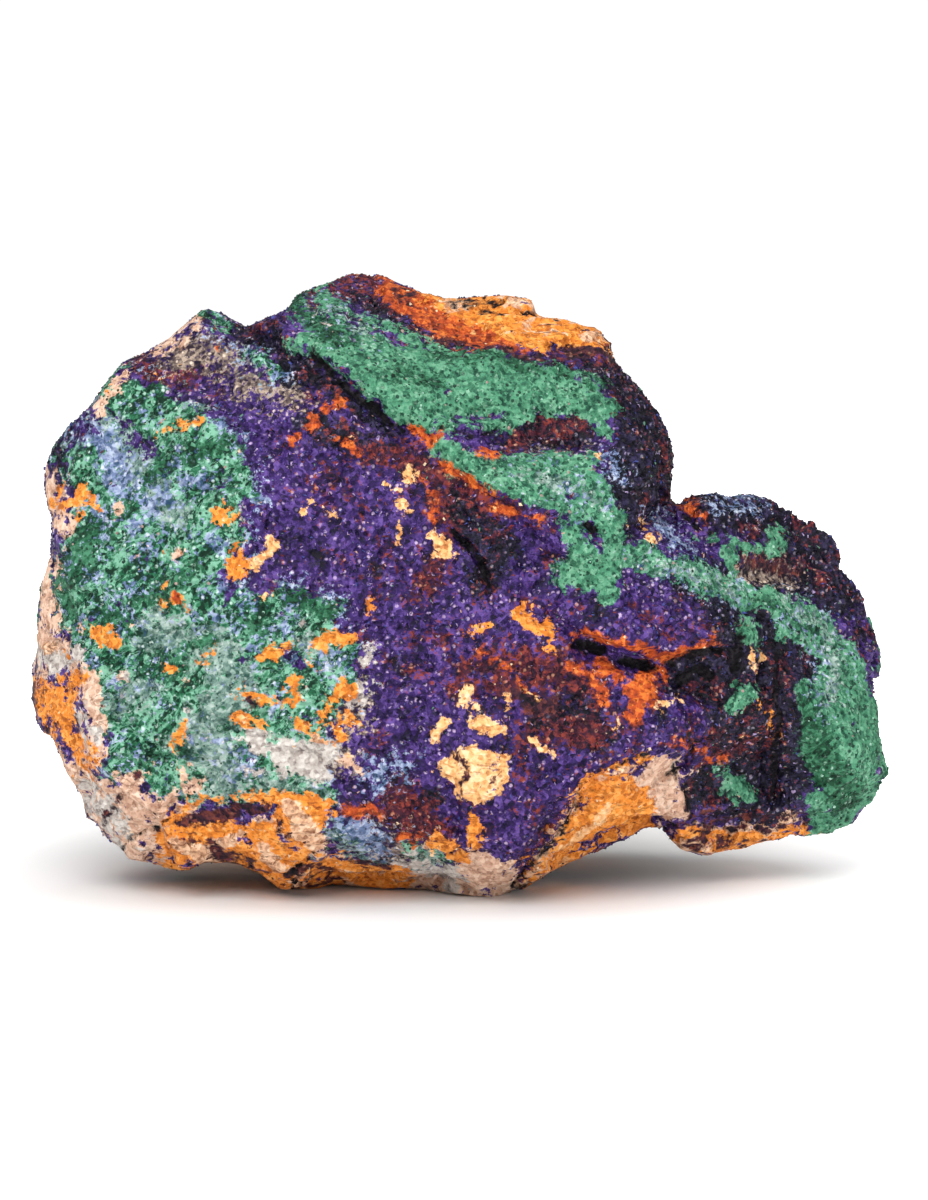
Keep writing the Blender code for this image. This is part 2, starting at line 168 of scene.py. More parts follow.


# The minerals as strokes over the photograph's pixels, by the part of the front that they paint. The strokes
# of the dark azurite and shade, of the dark green and shade and of the shaded hollows paint shade as well as
# colour. A stroke is right, down and half-width at one place after another
STROKES: dict[Mineral, Strokes] = {
    # Painted shade as well as dark azurite: the shoulder and the right lobe turned from the light, the shadow
    # under the green crust, and hollows
    NIGHT: {
        "shoulder": ((618, 378, 14, 642, 420, 28, 640, 470, 34, 636, 505, 24), (664, 420, 8, 671, 460, 8,
            668, 500, 8), (640, 510, 12, 625, 545, 6)),
        "lobe": ((690, 505, 12, 740, 516, 20, 790, 530, 24, 830, 560, 24, 852, 590, 18), (690, 580, 22,
            750, 604, 44, 776, 664, 60, 764, 740, 62, 764, 800, 36), (765, 572, 24, 812, 575, 28,
            850, 610, 16), (866, 640, 12, 880, 664, 7), (700, 790, 22, 745, 780, 34, 790, 790, 24,
            815, 760, 10), (672, 684, 18, 696, 672, 30, 734, 660, 24, 718, 690, 22)),
        "crust": ((262, 342, 12, 300, 366, 13, 340, 392, 12, 375, 416, 8, 400, 432, 4), (388, 316, 8,
            440, 344, 9, 500, 358, 8, 580, 370, 10, 614, 376, 12)),
        "upper_left": ((232, 330, 6, 268, 340, 14, 298, 385, 16),),
        "crest": ((345, 290, 10, 382, 304, 16, 390, 322, 10),),
        "eye": ((425, 416, 7, 455, 407, 8, 490, 402, 6),),
        "rusty_hollow": ((505, 442, 12, 535, 430, 20, 575, 432, 20),),
        "field": ((300, 420, 14, 350, 440, 16, 390, 450, 14), (455, 500, 22, 500, 550, 20, 480, 590, 12),
            (550, 720, 22, 600, 735, 18, 575, 690, 12)),
        "lower_dark": ((392, 822, 20, 430, 800, 14, 330, 838, 6),), "left_edge": ((64, 446, 9, 66, 478, 8),),
    },
    STAIN: {
        "upper_left": ((136, 366, 8, 190, 374, 12, 214, 352, 6),),
        "crest": ((310, 305, 6, 345, 281, 6, 372, 283, 7),),
        "facet": ((378, 283, 8, 402, 306, 10, 440, 332, 8, 484, 345, 5), (560, 352, 6, 600, 350, 10,
            608, 365, 6)),
        "field": ((352, 448, 8, 420, 462, 17, 466, 482, 14, 515, 512, 12), (436, 492, 15, 446, 530, 8,
            424, 590, 12), (455, 690, 8, 510, 690, 14, 560, 650, 12)),
        "heart_wide": ((470, 668, 12, 536, 664, 18, 596, 690, 14),),
        "low": ((398, 770, 10, 400, 812, 26, 440, 838, 18), (520, 740, 10, 590, 728, 16)),
        "slab_shade": ((512, 884, 4, 556, 842, 7, 582, 792, 7, 612, 764, 5),),
        "lower": ((400, 800, 16, 432, 832, 14, 405, 845, 8),), "lobe_brown": ((752, 568, 16, 790, 575, 10),),
        "rim_shadow": ((650, 690, 12, 632, 720, 8),),
        "streak": ((690, 738, 5, 722, 758, 5, 748, 742, 4, 772, 732, 4),),
        "notch": ((688, 508, 8, 700, 514, 5),), "bottom_mid": ((322, 850, 8, 350, 810, 5, 372, 812, 4),),
        "hollow": ((505, 446, 6, 545, 428, 9, 582, 424, 8),),
    },
    MATRIX: {
        "upper": ((170, 356, 12, 205, 348, 16, 236, 356, 12), (236, 378, 10, 262, 388, 14, 292, 398, 8)),
        "grey_patch": ((248, 742, 18, 290, 756, 26, 335, 758, 20),),
        "mottle": ((538, 466, 14, 586, 470, 14),), "pink_rough": ((745, 574, 8, 790, 580, 8),),
        "low_middle": ((352, 834, 18, 392, 852, 16, 432, 858, 12),),
        "heart_left": ((352, 690, 14, 348, 725, 12),),
    },
    VERDIGRIS: {
        "left": ((104, 420, 12, 128, 470, 24, 170, 508, 22), (150, 636, 22, 214, 648, 24, 238, 688, 22,
            206, 736, 28, 228, 782, 20), (100, 700, 14, 142, 690, 16)),
        "low": ((262, 788, 14, 322, 792, 10), (340, 832, 18, 376, 862, 10)),
        "bottom": ((430, 862, 14, 398, 880, 10),), "heart": ((300, 640, 12, 336, 660, 8),),
        "base": ((316, 862, 7, 345, 872, 9, 402, 876, 9),),
        "crust": ((520, 474, 4, 556, 484, 8, 592, 500, 7), (330, 312, 6, 360, 330, 7)),
        "third_pale": ((640, 560, 2, 690, 576, 3, 736, 594, 3),),
        "fourth_pale": ((786, 606, 5, 816, 626, 8, 832, 662, 8, 828, 700, 5),),
    },
    # Painted shade as well as dark green banding: the green roll darker towards its foot, the crust's upper
    # left and fringe, and the left edge
    MOSS: {
        "stripe": ((118, 508, 7, 165, 468, 10, 232, 440, 9), (108, 522, 6, 150, 502, 5)),
        "left": ((64, 580, 16, 84, 548, 20, 110, 518, 11), (60, 605, 10, 78, 622, 8)),
        "middle_low": ((104, 620, 9, 165, 590, 9, 205, 566, 6),),
        "heart": ((294, 596, 10, 332, 612, 9), (236, 622, 9, 272, 634, 9)),
        "low": ((140, 668, 9, 205, 640, 8),), "prong": ((108, 772, 5, 160, 760, 7),),
        "crust": ((296, 312, 10, 330, 330, 12, 352, 338, 7), (430, 352, 4, 520, 364, 5, 600, 384, 5),
            (390, 372, 4, 440, 388, 5)),
        "roll": ((808, 690, 9, 812, 730, 14, 830, 775, 16, 850, 806, 18), (876, 696, 4, 879, 736, 4,
            888, 784, 5, 864, 824, 6)),
        "fourth": ((760, 602, 4, 812, 630, 5),),
    },
    BLOOM: {
        "left": ((98, 436, 9, 116, 462, 18, 124, 488, 11), (86, 500, 6, 100, 515, 5)),
        "notch_streak": ((655, 520, 4, 672, 538, 7, 692, 554, 4),),
        "shoulder_blue": ((604, 462, 4, 617, 478, 4),), "lobe_top": ((720, 501, 5, 768, 499, 4),),
        "blue_low": ((240, 770, 7, 246, 752, 6),), "haze_low": ((372, 780, 9, 398, 764, 9),),
        "dot": ((573, 499, 3.5),), "teal_low": ((345, 828, 14, 378, 846, 12),),
        "stripe_blue": ((128, 528, 6, 162, 500, 9, 206, 478, 6),),
    },
    EMERALD: {
        "peak": ((205, 317, 8, 230, 325, 6), (252, 356, 6, 274, 371, 5)),
        "top": ((118, 392, 7, 150, 392, 13, 172, 410, 11),),
        "upper": ((128, 502, 7, 170, 464, 9, 216, 438, 9, 233, 440, 5), (214, 470, 9, 238, 476, 11,
            250, 492, 8)),
        "middle_ridge": ((140, 545, 20, 195, 530, 14, 244, 488, 9),),
        "ground": ((98, 470, 34, 130, 540, 62, 150, 620, 84, 170, 680, 66), (120, 400, 16, 170, 420, 26,
            205, 460, 34, 200, 540, 44), (180, 700, 44, 205, 752, 34)),
        "heart": ((250, 612, 26, 300, 622, 30, 338, 652, 24, 322, 700, 22, 262, 690, 34, 232, 742, 28,
            300, 745, 30),),
        "low_ground": ((190, 772, 28, 250, 782, 24, 322, 790, 14),),
        "left_edge": ((90, 515, 9, 68, 545, 9, 66, 600, 16, 62, 625, 10),),
        "lower": ((106, 690, 24, 142, 728, 26, 118, 756, 14),),
        "prong": ((110, 768, 12, 150, 762, 18, 166, 802, 11),), "round": ((97, 728, 11),),
        "right_part": ((205, 640, 38, 255, 632, 26, 300, 612, 16, 332, 636, 12),),
        "under": ((196, 748, 24, 226, 768, 18, 200, 800, 9),), "bottom_mint": ((408, 852, 6, 440, 856, 8),),
    },
    MALACHITE: {
        "crest": ((320, 294, 8, 338, 312, 13),),
        "crust": ((306, 336, 11, 345, 346, 19, 386, 370, 30), (386, 372, 28, 420, 384, 38, 472, 382, 33,
            530, 386, 23, 580, 398, 17, 612, 406, 9), (400, 408, 13, 424, 422, 8), (366, 318, 6, 404, 334, 5,
            450, 350, 5, 520, 360, 4, 590, 378, 6)),
        "left_fringe": ((284, 346, 6, 300, 340, 9),), "middle_lower": ((500, 424, 9, 526, 412, 12),),
        "right": ((572, 402, 13, 602, 420, 8, 604, 440, 4), (882, 672, 5)),
        "bridge": ((428, 426, 9, 470, 425, 5, 497, 424, 6), (440, 444, 10, 456, 464, 11)),
        "band": ((456, 464, 11, 500, 474, 17, 548, 482, 28, 588, 496, 28, 608, 520, 14), (545, 460, 8,
            590, 464, 9)),
        "neck": ((570, 532, 9, 584, 556, 14), (614, 524, 12, 618, 548, 9)),
        "blob": ((566, 575, 14, 600, 566, 20, 612, 590, 11),),
        "third_band": ((618, 552, 13, 660, 562, 11, 700, 580, 12, 746, 595, 12),),
        "branch": ((736, 590, 8, 733, 566, 5, 728, 548, 6), (738, 616, 5, 748, 638, 8)),
        "streak_up": ((728, 546, 7, 758, 552, 6, 776, 546, 10, 772, 534, 7),),
        "thin_streak": ((698, 532, 2, 726, 546, 3),),
        "fourth_band": ((746, 596, 12, 776, 606, 13, 806, 620, 15, 834, 655, 17),),
        "roll": ((838, 660, 22, 842, 705, 30, 848, 745, 33, 856, 788, 28, 846, 818, 12), (814, 690, 13,
            806, 716, 10, 818, 770, 8), (820, 800, 11, 834, 826, 8)),
        "strand": ((776, 628, 7, 800, 636, 7),), "bright_spot": ((748, 688, 9, 737, 706, 8),),
        "low": ((732, 784, 11, 746, 796, 8), (716, 768, 5, 726, 776, 5)),
    },
    CLAY: {
        "left": ((52, 558, 6, 44, 600, 8, 46, 640, 11, 60, 656, 13, 42, 672, 8), (76, 664, 9, 90, 694, 11,
            92, 726, 11, 88, 762, 10), (122, 368, 5, 108, 386, 8, 94, 406, 5), (52, 468, 4, 58, 505, 8,
            60, 524, 7)),
        "upper_rim": ((196, 324, 6, 180, 335, 8, 164, 344, 6, 148, 353, 3),),
        "lower": ((80, 765, 8, 96, 790, 12, 112, 815, 16, 140, 836, 22, 126, 850, 10), (128, 790, 13,
            146, 776, 6), (168, 800, 6, 182, 812, 8, 200, 806, 5), (104, 786, 10, 150, 812, 14, 176, 846, 13,
            160, 862, 7)),
        "middle": ((184, 770, 6, 193, 785, 8),),
        "bottom": ((450, 884, 14, 474, 870, 22, 506, 880, 18), (396, 884, 8, 434, 880, 9)),
        "slab": ((640, 785, 14, 664, 776, 20, 660, 804, 15), (668, 790, 12, 682, 814, 7)),
        "ledge_end": ((788, 818, 7, 802, 826, 5),), "violet_edge": ((344, 760, 9, 352, 768, 5),),
        "band_tan": ((262, 822, 6, 290, 838, 9, 318, 852, 8),),
        "rim_low": ((54, 738, 6, 70, 776, 9, 88, 800, 8),),
    },
    CHALK: {
        "pale_patch": ((238, 736, 7, 275, 756, 13, 315, 762, 17, 336, 746, 8),),
        "rim_grey": ((38, 650, 7, 54, 670, 9, 80, 652, 5),),
        "lower_left": ((88, 782, 6, 108, 806, 9, 122, 836, 6),),
        "bottom": ((402, 866, 8, 446, 872, 10, 456, 886, 6),),
        "white": ((352, 697, 7, 366, 682, 6), (372, 650, 5, 366, 672, 5)),
        "left_mid": ((70, 700, 5, 94, 740, 5),),
    },
    LIMONITE: {
        "facet": ((412, 300, 10, 440, 310, 18, 490, 320, 26, 532, 326, 22, 542, 346, 6), (548, 330, 14,
            602, 336, 13)),
        "left": ((44, 692, 12, 56, 702, 20, 62, 726, 9), (62, 680, 8, 80, 676, 5), (74, 736, 7, 90, 762, 6),
            (64, 500, 7, 80, 490, 9, 92, 502, 4)),
        "slab": ((532, 868, 9, 572, 846, 14, 592, 820, 24, 618, 800, 26, 640, 822, 11), (600, 778, 9,
            630, 768, 7), (556, 836, 5, 580, 792, 6, 610, 766, 6, 648, 752, 6), (570, 840, 14, 604, 806, 24,
            632, 800, 20)),
        "band": ((186, 805, 3, 240, 796, 3, 280, 800, 11, 322, 808, 12), (285, 820, 14, 304, 832, 20),
            (168, 822, 5, 200, 838, 9, 250, 852, 11, 270, 870, 9, 288, 881, 6), (168, 820, 9, 215, 834, 16,
            264, 842, 16, 300, 868, 14), (160, 838, 7, 180, 860, 8)),
        "bottom": ((472, 818, 7, 478, 842, 6), (438, 838, 7, 458, 852, 7), (168, 842, 10, 212, 852, 12,
            240, 858, 10), (278, 868, 12, 340, 872, 14, 402, 878, 10)),
        "upper_spot": ((220, 512, 9, 233, 515, 7),),
        "middle_spot": ((236, 552, 8, 233, 576, 5, 242, 562, 6),), "red_spot": ((162, 604, 4, 180, 602, 5),),
        "rim_spot": ((88, 628, 5, 100, 635, 10, 116, 646, 5),), "small_spot": ((170, 666, 5),),
        "pair_spot": ((199, 668, 3, 209, 654, 5),), "square_spot": ((271, 655, 9, 290, 644, 3),),
        "arc": ((314, 656, 4, 325, 640, 8, 345, 632, 9, 358, 634, 4),),
        "drop": ((296, 685, 9, 293, 702, 5),),
        "corner": ((238, 690, 5, 262, 700, 6), (240, 720, 8, 262, 724, 4)),
        "white_edge": ((345, 690, 8, 330, 700, 7, 324, 716, 4),),
        "pale_edge": ((345, 722, 11, 340, 736, 5),), "crumble": ((298, 724, 5, 316, 740, 6),),
        "upright": ((182, 726, 4, 178, 744, 3),), "ridge_top": ((164, 433, 3, 176, 425, 4, 196, 419, 3),),
        "heart": ((522, 614, 8, 540, 625, 9, 552, 642, 5), (468, 636, 3, 486, 630, 3)),
        "sliver": ((762, 702, 4, 770, 718, 4, 776, 736, 2),),
        "ledge": ((690, 836, 9, 730, 834, 9, 770, 837, 5), (700, 850, 4, 740, 847, 4), (686, 838, 10,
            740, 838, 12, 792, 832, 8)),
        "violet_spots": ((360, 596, 3, 372, 606, 2),),
    },
    EMBER: {
        "facet": ((384, 286, 9, 408, 304, 12, 446, 328, 11, 490, 340, 7), (480, 340, 4, 530, 350, 4)),
        "rim": ((572, 632, 4, 590, 633, 3, 612, 641, 4, 640, 650, 5, 664, 657, 6, 690, 650, 5, 714, 639, 4),
            (598, 664, 5, 618, 677, 4)),
        "patch": ((646, 668, 8, 640, 694, 14, 637, 720, 7), (655, 664, 5, 664, 676, 5)),
        "bridge_rim": ((480, 450, 3, 494, 454, 2),),
        "upper_patch": ((408, 424, 3, 432, 440, 6, 444, 432, 4),),
        "zigzag": ((288, 442, 3, 300, 428, 2.5, 318, 427, 3, 308, 413, 2.5), (322, 410, 3, 346, 403, 2.5),
            (338, 436, 3, 358, 454, 3)),
        "field_streak": ((420, 480, 3, 436, 492, 4, 432, 520, 3),),
        "red_spot": ((172, 596, 5, 178, 606, 4),), "lobe_streak": ((664, 744, 3, 690, 750, 3, 722, 760, 3),),
        "bottom": ((350, 808, 4, 376, 814, 5), (402, 842, 5, 425, 838, 4)),
        "notch": ((688, 508, 6, 702, 514, 4),),
        "band_rim": ((440, 462, 3, 476, 484, 4, 500, 505, 2.5, 542, 521, 2),),
        "heart": ((480, 650, 2, 500, 664, 4, 516, 674, 2, 536, 700, 3), (566, 662, 4, 590, 680, 5,
            606, 700, 5)),
    },
    FLAKE: {
        "top": ((446, 300, 4, 490, 300, 5, 526, 303, 7, 532, 311, 4), (540, 322, 4, 574, 328, 4,
            604, 336, 7)),
        "facet": ((436, 306, 2, 470, 312, 2), (500, 332, 2, 528, 326, 2)),
        "band": ((286, 808, 8, 300, 826, 14, 318, 842, 10), (180, 842, 5, 206, 852, 5), (268, 862, 4,
            300, 880, 4), (176, 846, 5, 208, 850, 8, 240, 838, 6), (262, 850, 7, 286, 864, 5)),
        "slab": ((516, 884, 3, 548, 846, 3, 570, 806, 3, 588, 780, 2), (604, 776, 4, 634, 762, 4)),
        "ledge": ((684, 826, 3, 730, 828, 4, 780, 828, 4), (676, 842, 3, 706, 848, 3)),
        "bottom": ((340, 876, 4, 372, 880, 4),), "left": ((40, 655, 4, 52, 648, 4),),
        "lobe": ((786, 816, 4, 800, 822, 4),),
    },
    PEACH: {
        "large": ((448, 768, 10, 468, 780, 14, 492, 776, 13), (466, 757, 11, 484, 760, 11), (460, 790, 7,
            482, 796, 8, 498, 790, 6), (502, 765, 6, 508, 778, 5)),
        "left": ((440, 722, 7, 437, 734, 8), (303, 511, 3, 312, 504, 3), (331, 514, 4.5), (263, 536, 4,
            268, 550, 5, 256, 560, 4), (262, 592, 6)),
        "long": ((470, 716, 5, 494, 728, 9, 506, 733, 4),),
        "row": ((468, 698, 5, 459, 709, 3), (508, 703, 6), (528, 699, 5, 541, 704, 4)),
        "right": ((534, 740, 4, 547, 749, 5),),
        "upper": ((401, 462, 4, 406, 474, 4, 394, 484, 4, 384, 486, 3), (393, 506, 3, 400, 506, 3),
            (411, 511, 5)),
        "streak": ((396, 524, 1.4, 397, 546, 1.4),), "pink": ((430, 535, 5, 441, 546, 12, 452, 553, 6),),
        "lobe": ((664, 706, 4, 682, 702, 4), (751, 648, 2.5, 755, 664, 2)),
        "notch": ((634, 520, 2, 648, 532, 2), (652, 540, 5)), "slab_light": ((604, 812, 6, 560, 850, 3),),
    },
    UMBER: {
        "stripe": ((178, 824, 4, 222, 814, 8, 262, 806, 5),), "purple_line": ((275, 826, 2, 288, 843, 2.5),),
        "bottom": ((284, 874, 5, 310, 868, 5, 332, 877, 3), (352, 862, 4, 388, 868, 3)),
        "facet": ((386, 280, 3, 420, 306, 2), (440, 336, 2, 500, 351, 2.5, 550, 358, 3), (562, 352, 5,
            602, 352, 8)),
        "left_spots": ((36, 684, 3, 38, 702, 3),),
        "lump": ((452, 750, 1.2, 470, 768, 1.8, 462, 792, 1.4), (478, 786, 1, 500, 770, 1.6)),
        "heart": ((508, 690, 5, 545, 715, 6, 560, 700, 5),), "lobe": ((752, 566, 5, 800, 574, 5),),
        "corner": ((244, 700, 4, 256, 712, 3),), "clay": ((120, 795, 2, 108, 818, 2),),
        "ledge": ((672, 818, 2, 740, 815, 2, 800, 817, 2), (690, 834, 2, 740, 838, 2), (676, 828, 2,
            710, 826, 3, 766, 828, 2.4, 812, 824, 3), (690, 845, 2, 720, 842, 3, 762, 846, 2)),
        "band_dots": ((196, 838, 3, 228, 852, 3, 250, 862, 4),),
    },
    # Painted shade: cracks and cavities, the shadow under the green crust's overhang, and the shoulder's edge
    # turned from the light
    HOLLOW: {
        "rim_left": ((580, 642, 7, 600, 652, 7),), "under_rim": ((622, 662, 6, 652, 666, 5),),
        "lobe": ((678, 684, 5, 696, 670, 7, 712, 676, 5), (734, 668, 5, 738, 638, 5), (668, 664, 3,
            690, 654, 5, 720, 650, 5, 744, 656, 3), (774, 652, 2.5, 777, 700, 3, 776, 760, 3.5,
            770, 804, 2.5)),
        "curved_crack": ((450, 528, 2.4, 470, 542, 3.6, 482, 562, 4.2, 492, 592, 3),),
        "crust": ((310, 350, 2.5, 345, 386, 5, 380, 412, 5, 402, 429, 3), (440, 426, 1.5, 470, 436, 2,
            498, 430, 1)),
        "bridge_crack": ((454, 427, 1.2, 470, 440, 1.2),),
        "slab": ((690, 735, 2, 688, 760, 2, 662, 778, 1.8), (674, 764, 1.5, 684, 790, 1.5, 692, 816, 1.5),
            (548, 848, 1.6, 568, 818, 2.2, 584, 786, 1.6, 604, 764, 1), (604, 770, 1, 640, 752, 1.6,
            664, 748, 1.2), (652, 826, 2, 664, 824, 2, 700, 822, 1), (506, 890, 1.6, 526, 868, 3,
            548, 846, 2)),
        "facet_line": ((446, 306, 0.8, 480, 312, 1.3, 520, 314, 0.9),),
        "notch": ((674, 514, 3, 690, 520, 3, 710, 534, 2),), "triangle": ((585, 527, 3.5, 594, 530, 5),),
        "flake": ((474, 306, 1, 502, 309, 1.1, 532, 316, 1.3), (540, 322, 1, 562, 328, 1.1)),
        "base": ((290, 873, 4, 312, 857, 3), (244, 838, 3)),
        "left_crack": ((122, 844, 1, 142, 832, 0.9, 172, 818, 0.9),),
        "shoulder_edge": ((667, 425, 3, 672, 460, 4, 668, 498, 4),),
    },
}


# Fracture faces: a pixel on the face, its depth in metres behind the photograph's plane, and the way
# it faces as (right, away from the viewer, up)
FRACTURE_FACES = {
    "azurite_face": ((400, 620), -0.024, (0.02, -1.0, -0.06)),
    "malachite_slope": ((470, 440), -0.0235, (0.12, -0.86, 0.42)),
    "orange_top": ((500, 350), -0.0155, (0.1, -0.52, 0.85)),
    "left_cheek": ((215, 580), -0.0225, (-0.42, -0.9, 0.06)),
    "left_rim": ((78, 600), -0.012, (-0.85, -0.52, 0.0)),
    "top_left_slope": ((215, 400), -0.019, (-0.25, -0.8, 0.55)),
    "lower_left_chamfer": ((190, 790), -0.018, (-0.3, -0.78, -0.5)),
    "right_face": ((620, 610), -0.0225, (0.3, -0.95, 0.08)),
    "right_flank": ((800, 650), -0.02, (0.6, -0.78, 0.12)),
    "right_shoulder": ((645, 420), -0.015, (0.72, -0.62, 0.3)),
    "orange_slab": ((600, 805), -0.0165, (0.38, -0.72, -0.58)),
    "lower_right": ((770, 790), -0.0175, (0.25, -0.8, -0.5)),
    "base_chamfer": ((400, 852), -0.0175, (0.0, -0.66, -0.75)),
    "back": ((450, 560), 0.024, (0.05, 0.98, 0.12)),
    "back_left": ((180, 600), 0.018, (-0.62, 0.78, 0.05)),
    "back_left_rim": ((58, 560), 0.01, (-0.92, 0.38, 0.1)),
    "back_right": ((760, 620), 0.018, (0.55, 0.82, 0.1)),
    "back_right_rim": ((868, 660), 0.008, (0.9, 0.42, 0.05)),
    "back_top": ((420, 400), 0.019, (-0.08, 0.72, 0.68)),
    "back_right_top": ((630, 440), 0.015, (0.55, 0.6, 0.58)),
    "back_bottom": ((420, 830), 0.0215, (0.05, 0.8, -0.6)),
    "back_lower_left": ((150, 790), 0.0125, (-0.5, 0.62, -0.6)),
    "back_lower_right": ((830, 812), 0.012, (0.45, 0.65, -0.6)),
}

# The outline in the photograph's pixels, clockwise from the left, by stretch
LEFT_EDGE = (
    (28, 690), (29, 668), (36, 642), (38, 610), (42, 580),
    (51, 556), (53, 520), (44, 485), (44, 470), (54, 447),
)
TOP_LEFT = ((69, 427), (89, 409), (107, 383), (123, 363), (147, 353), (172, 336), (190, 321))
LOW_PEAK = ((205, 309), (221, 314), (247, 328), (268, 319), (290, 309))
HIGH_PEAK = ((296, 296), (328, 283), (356, 271), (382, 276))
TOP_LEDGES = (
    (420, 293), (446, 299), (506, 296), (531, 300), (537, 318),
    (566, 320), (584, 327), (598, 324), (602, 334), (614, 342),
)
RIGHT_SHOULDER = ((616, 364), (640, 389), (662, 418), (670, 440), (674, 455), (670, 490))
NOTCH = ((668, 505), (673, 511), (682, 503), (683, 497))
RIGHT_LOBE = (
    (714, 494), (728, 498), (744, 495), (773, 496), (786, 504), (804, 508), (813, 520),
    (836, 534), (852, 550), (857, 573), (867, 605), (880, 636), (891, 670), (888, 684),
    (879, 700), (880, 735), (889, 758), (892, 780), (889, 800), (868, 815), (858, 833),
)
RIGHT_BASE = ((830, 837), (785, 842), (736, 852), (700, 856), (680, 849), (667, 836), (663, 828))
SLAB_EDGE = ((645, 829), (620, 843), (578, 858), (550, 871), (522, 890), (500, 900))
FOOT_EDGE = ((486, 900), (455, 893), (412, 892), (376, 887), (335, 884), (318, 888), (281, 889))
LOWER_LEFT = (
    (262, 874), (240, 864), (204, 861), (188, 870), (172, 869), (152, 863), (131, 860), (119, 846),
    (107, 840), (98, 823), (87, 818), (82, 795), (67, 772), (53, 736), (40, 731), (34, 710),
)
OUTLINE = (
    LEFT_EDGE + TOP_LEFT + LOW_PEAK + HIGH_PEAK + TOP_LEDGES + RIGHT_SHOULDER
    + NOTCH + RIGHT_LOBE + RIGHT_BASE + SLAB_EDGE + FOOT_EDGE + LOWER_LEFT
)

# Hollows and lumps of the front: centre, half-lengths along and across, turn of the long side in
# degrees anticlockwise, all in pixels, and the height in metres, below zero where it goes in
MOUNDS = {
    "shadow_cavity": ((700, 680), (52, 40), -20, -0.0042),
    "hollow_under_rim_left": ((592, 648), (20, 12), -20, -0.0022),
    "hollow_under_rim_right": ((632, 662), (30, 10), -5, -0.0024),
    "eye_hollow": ((470, 412), (52, 12), 6, -0.0016),
    "rusty_hollow": ((560, 432), (55, 24), 10, -0.0018),
    "right_pocket": ((745, 775), (45, 32), 0, -0.0022),
    "notch_hollow": ((694, 526), (26, 14), -38, -0.0028),
    "lobe_hollow": ((770, 575), (40, 14), 0, -0.0014),
    "pale_lump": ((470, 770), (44, 34), -10, 0.0014),
    "clay_floor": ((290, 755), (60, 30), -25, -0.0014),
    "green_mound": ((130, 580), (70, 60), 30, 0.0016),
    "green_swell_above": ((190, 455), (70, 30), 35, 0.0012),
    "blue_saddle": ((110, 455), (42, 34), 40, -0.0012),
    "right_green_roll": ((850, 720), (34, 95), 0, 0.0016),
    "purple_plate": ((640, 612), (70, 30), -4, 0.0015),
    "shoulder_swell": ((625, 460), (34, 44), 0, 0.0012),
    "bottom_bulge": ((300, 830), (60, 26), 5, 0.0014),
}

# Ledges of the front: the surface steps up on the left of each line as it is walked. Height and the
# distance over which the raised side fades back are in metres
LEDGES = {
    "malachite_overhang": (
        ((262, 340), (325, 367), (380, 407), (432, 432), (448, 462), (505, 503), (560, 545)), 0.0026, 0.013),
    "orange_rim": (((570, 622), (600, 640), (662, 660), (715, 640)), 0.0022, 0.01),
    "clay_rim": (((96, 405), (66, 520), (62, 620), (88, 700), (100, 770), (160, 815), (172, 860)),
                 0.002, 0.012),
    "slab_crest": (((505, 862), (560, 795), (640, 748), (692, 745)), 0.0018, 0.012),
    "top_flake": (((430, 303), (470, 308), (545, 322)), 0.0012, 0.006),
    "base_ledge": (((668, 815), (740, 812), (800, 815)), 0.0016, 0.008),
}

# Clefts of the front: a line in pixels, its half-width and its depth in metres
CLEFTS = {
    "upright_cleft": (((772, 655), (777, 720), (774, 800)), 0.001, 0.0024),
    "curved_crack": (((452, 532), (478, 556), (494, 592)), 0.0006, 0.0012),
    "slab_crack": (((690, 735), (688, 765), (660, 780)), 0.0006, 0.0012),
    "lobe_cleft": (((672, 512), (655, 520), (640, 530)), 0.0009, 0.0018),
}

# How far a chip is lifted and tilted, the least radius of a spot as a share of the largest, and the
# millimetres over which a mineral fades at its edge, to either side
CHIP_LIFT, CHIP_TILT = 0.45, 0.8
LEAST_BALL = 0.35
MASK_EDGE = 0.4


def smooth_step(low: float, high: float, value: Array) -> Array:
    """0 below low, 1 above high and between them t squared times (3 - 2 t)."""
    t = np.clip((value - low) / (high - low), 0.0, 1.0)
    return t * t * (3.0 - 2.0 * t)


def hash01(cells: Array, seed: int) -> Array:
    """A repeatable number for each cell: its three numbers times large odd numbers, added and stirred
    with shifts.

    Args:
        cells: whole-number cells, one a row.
        seed: which set of numbers it is.

    Returns:
        A number from 0 to 1 for each cell.
    """
    c = cells.astype(np.int64).astype(np.uint32)
    h = c[:, 0] * np.uint32(374761393) + c[:, 1] * np.uint32(668265263)
    h = h + c[:, 2] * np.uint32(2246822519) + np.uint32(seed * 3266489917 & 0xFFFFFFFF)
    h = (h ^ (h >> np.uint32(13))) * np.uint32(1274126177)
    h = (h ^ (h >> np.uint32(15))) * np.uint32(2246822519)
    return (h ^ (h >> np.uint32(16))) / 4294967296.0


def swell(points: Array, cell: float, seed: int) -> Array:
    """Smooth noise from -1 to 1: random values at the corners of cubes, blended inside them.

    Args:
        points: places, one a row.
        cell: side of the cubes in metres.
        seed: which noise it is.

    Returns:
        One value for each point.
    """
    scaled = points / cell
    base = np.floor(scaled)
    t = scaled - base
    t = t * t * (3.0 - 2.0 * t)
    total = np.zeros(len(points))
    for corner in np.ndindex(2, 2, 2):
        weight = np.ones(len(points))
        for axis in range(3):
            weight *= t[:, axis] if corner[axis] else 1.0 - t[:, axis]
        total += weight * hash01(base + corner, seed)
    return total * 2.0 - 1.0


def two_swells(points: Array, cell: float, seed: int) -> Array:
    """Two swells with neighbouring seeds, for right and up, as two columns."""
    return np.stack([swell(points, cell, seed + axis) for axis in range(2)], axis=1)


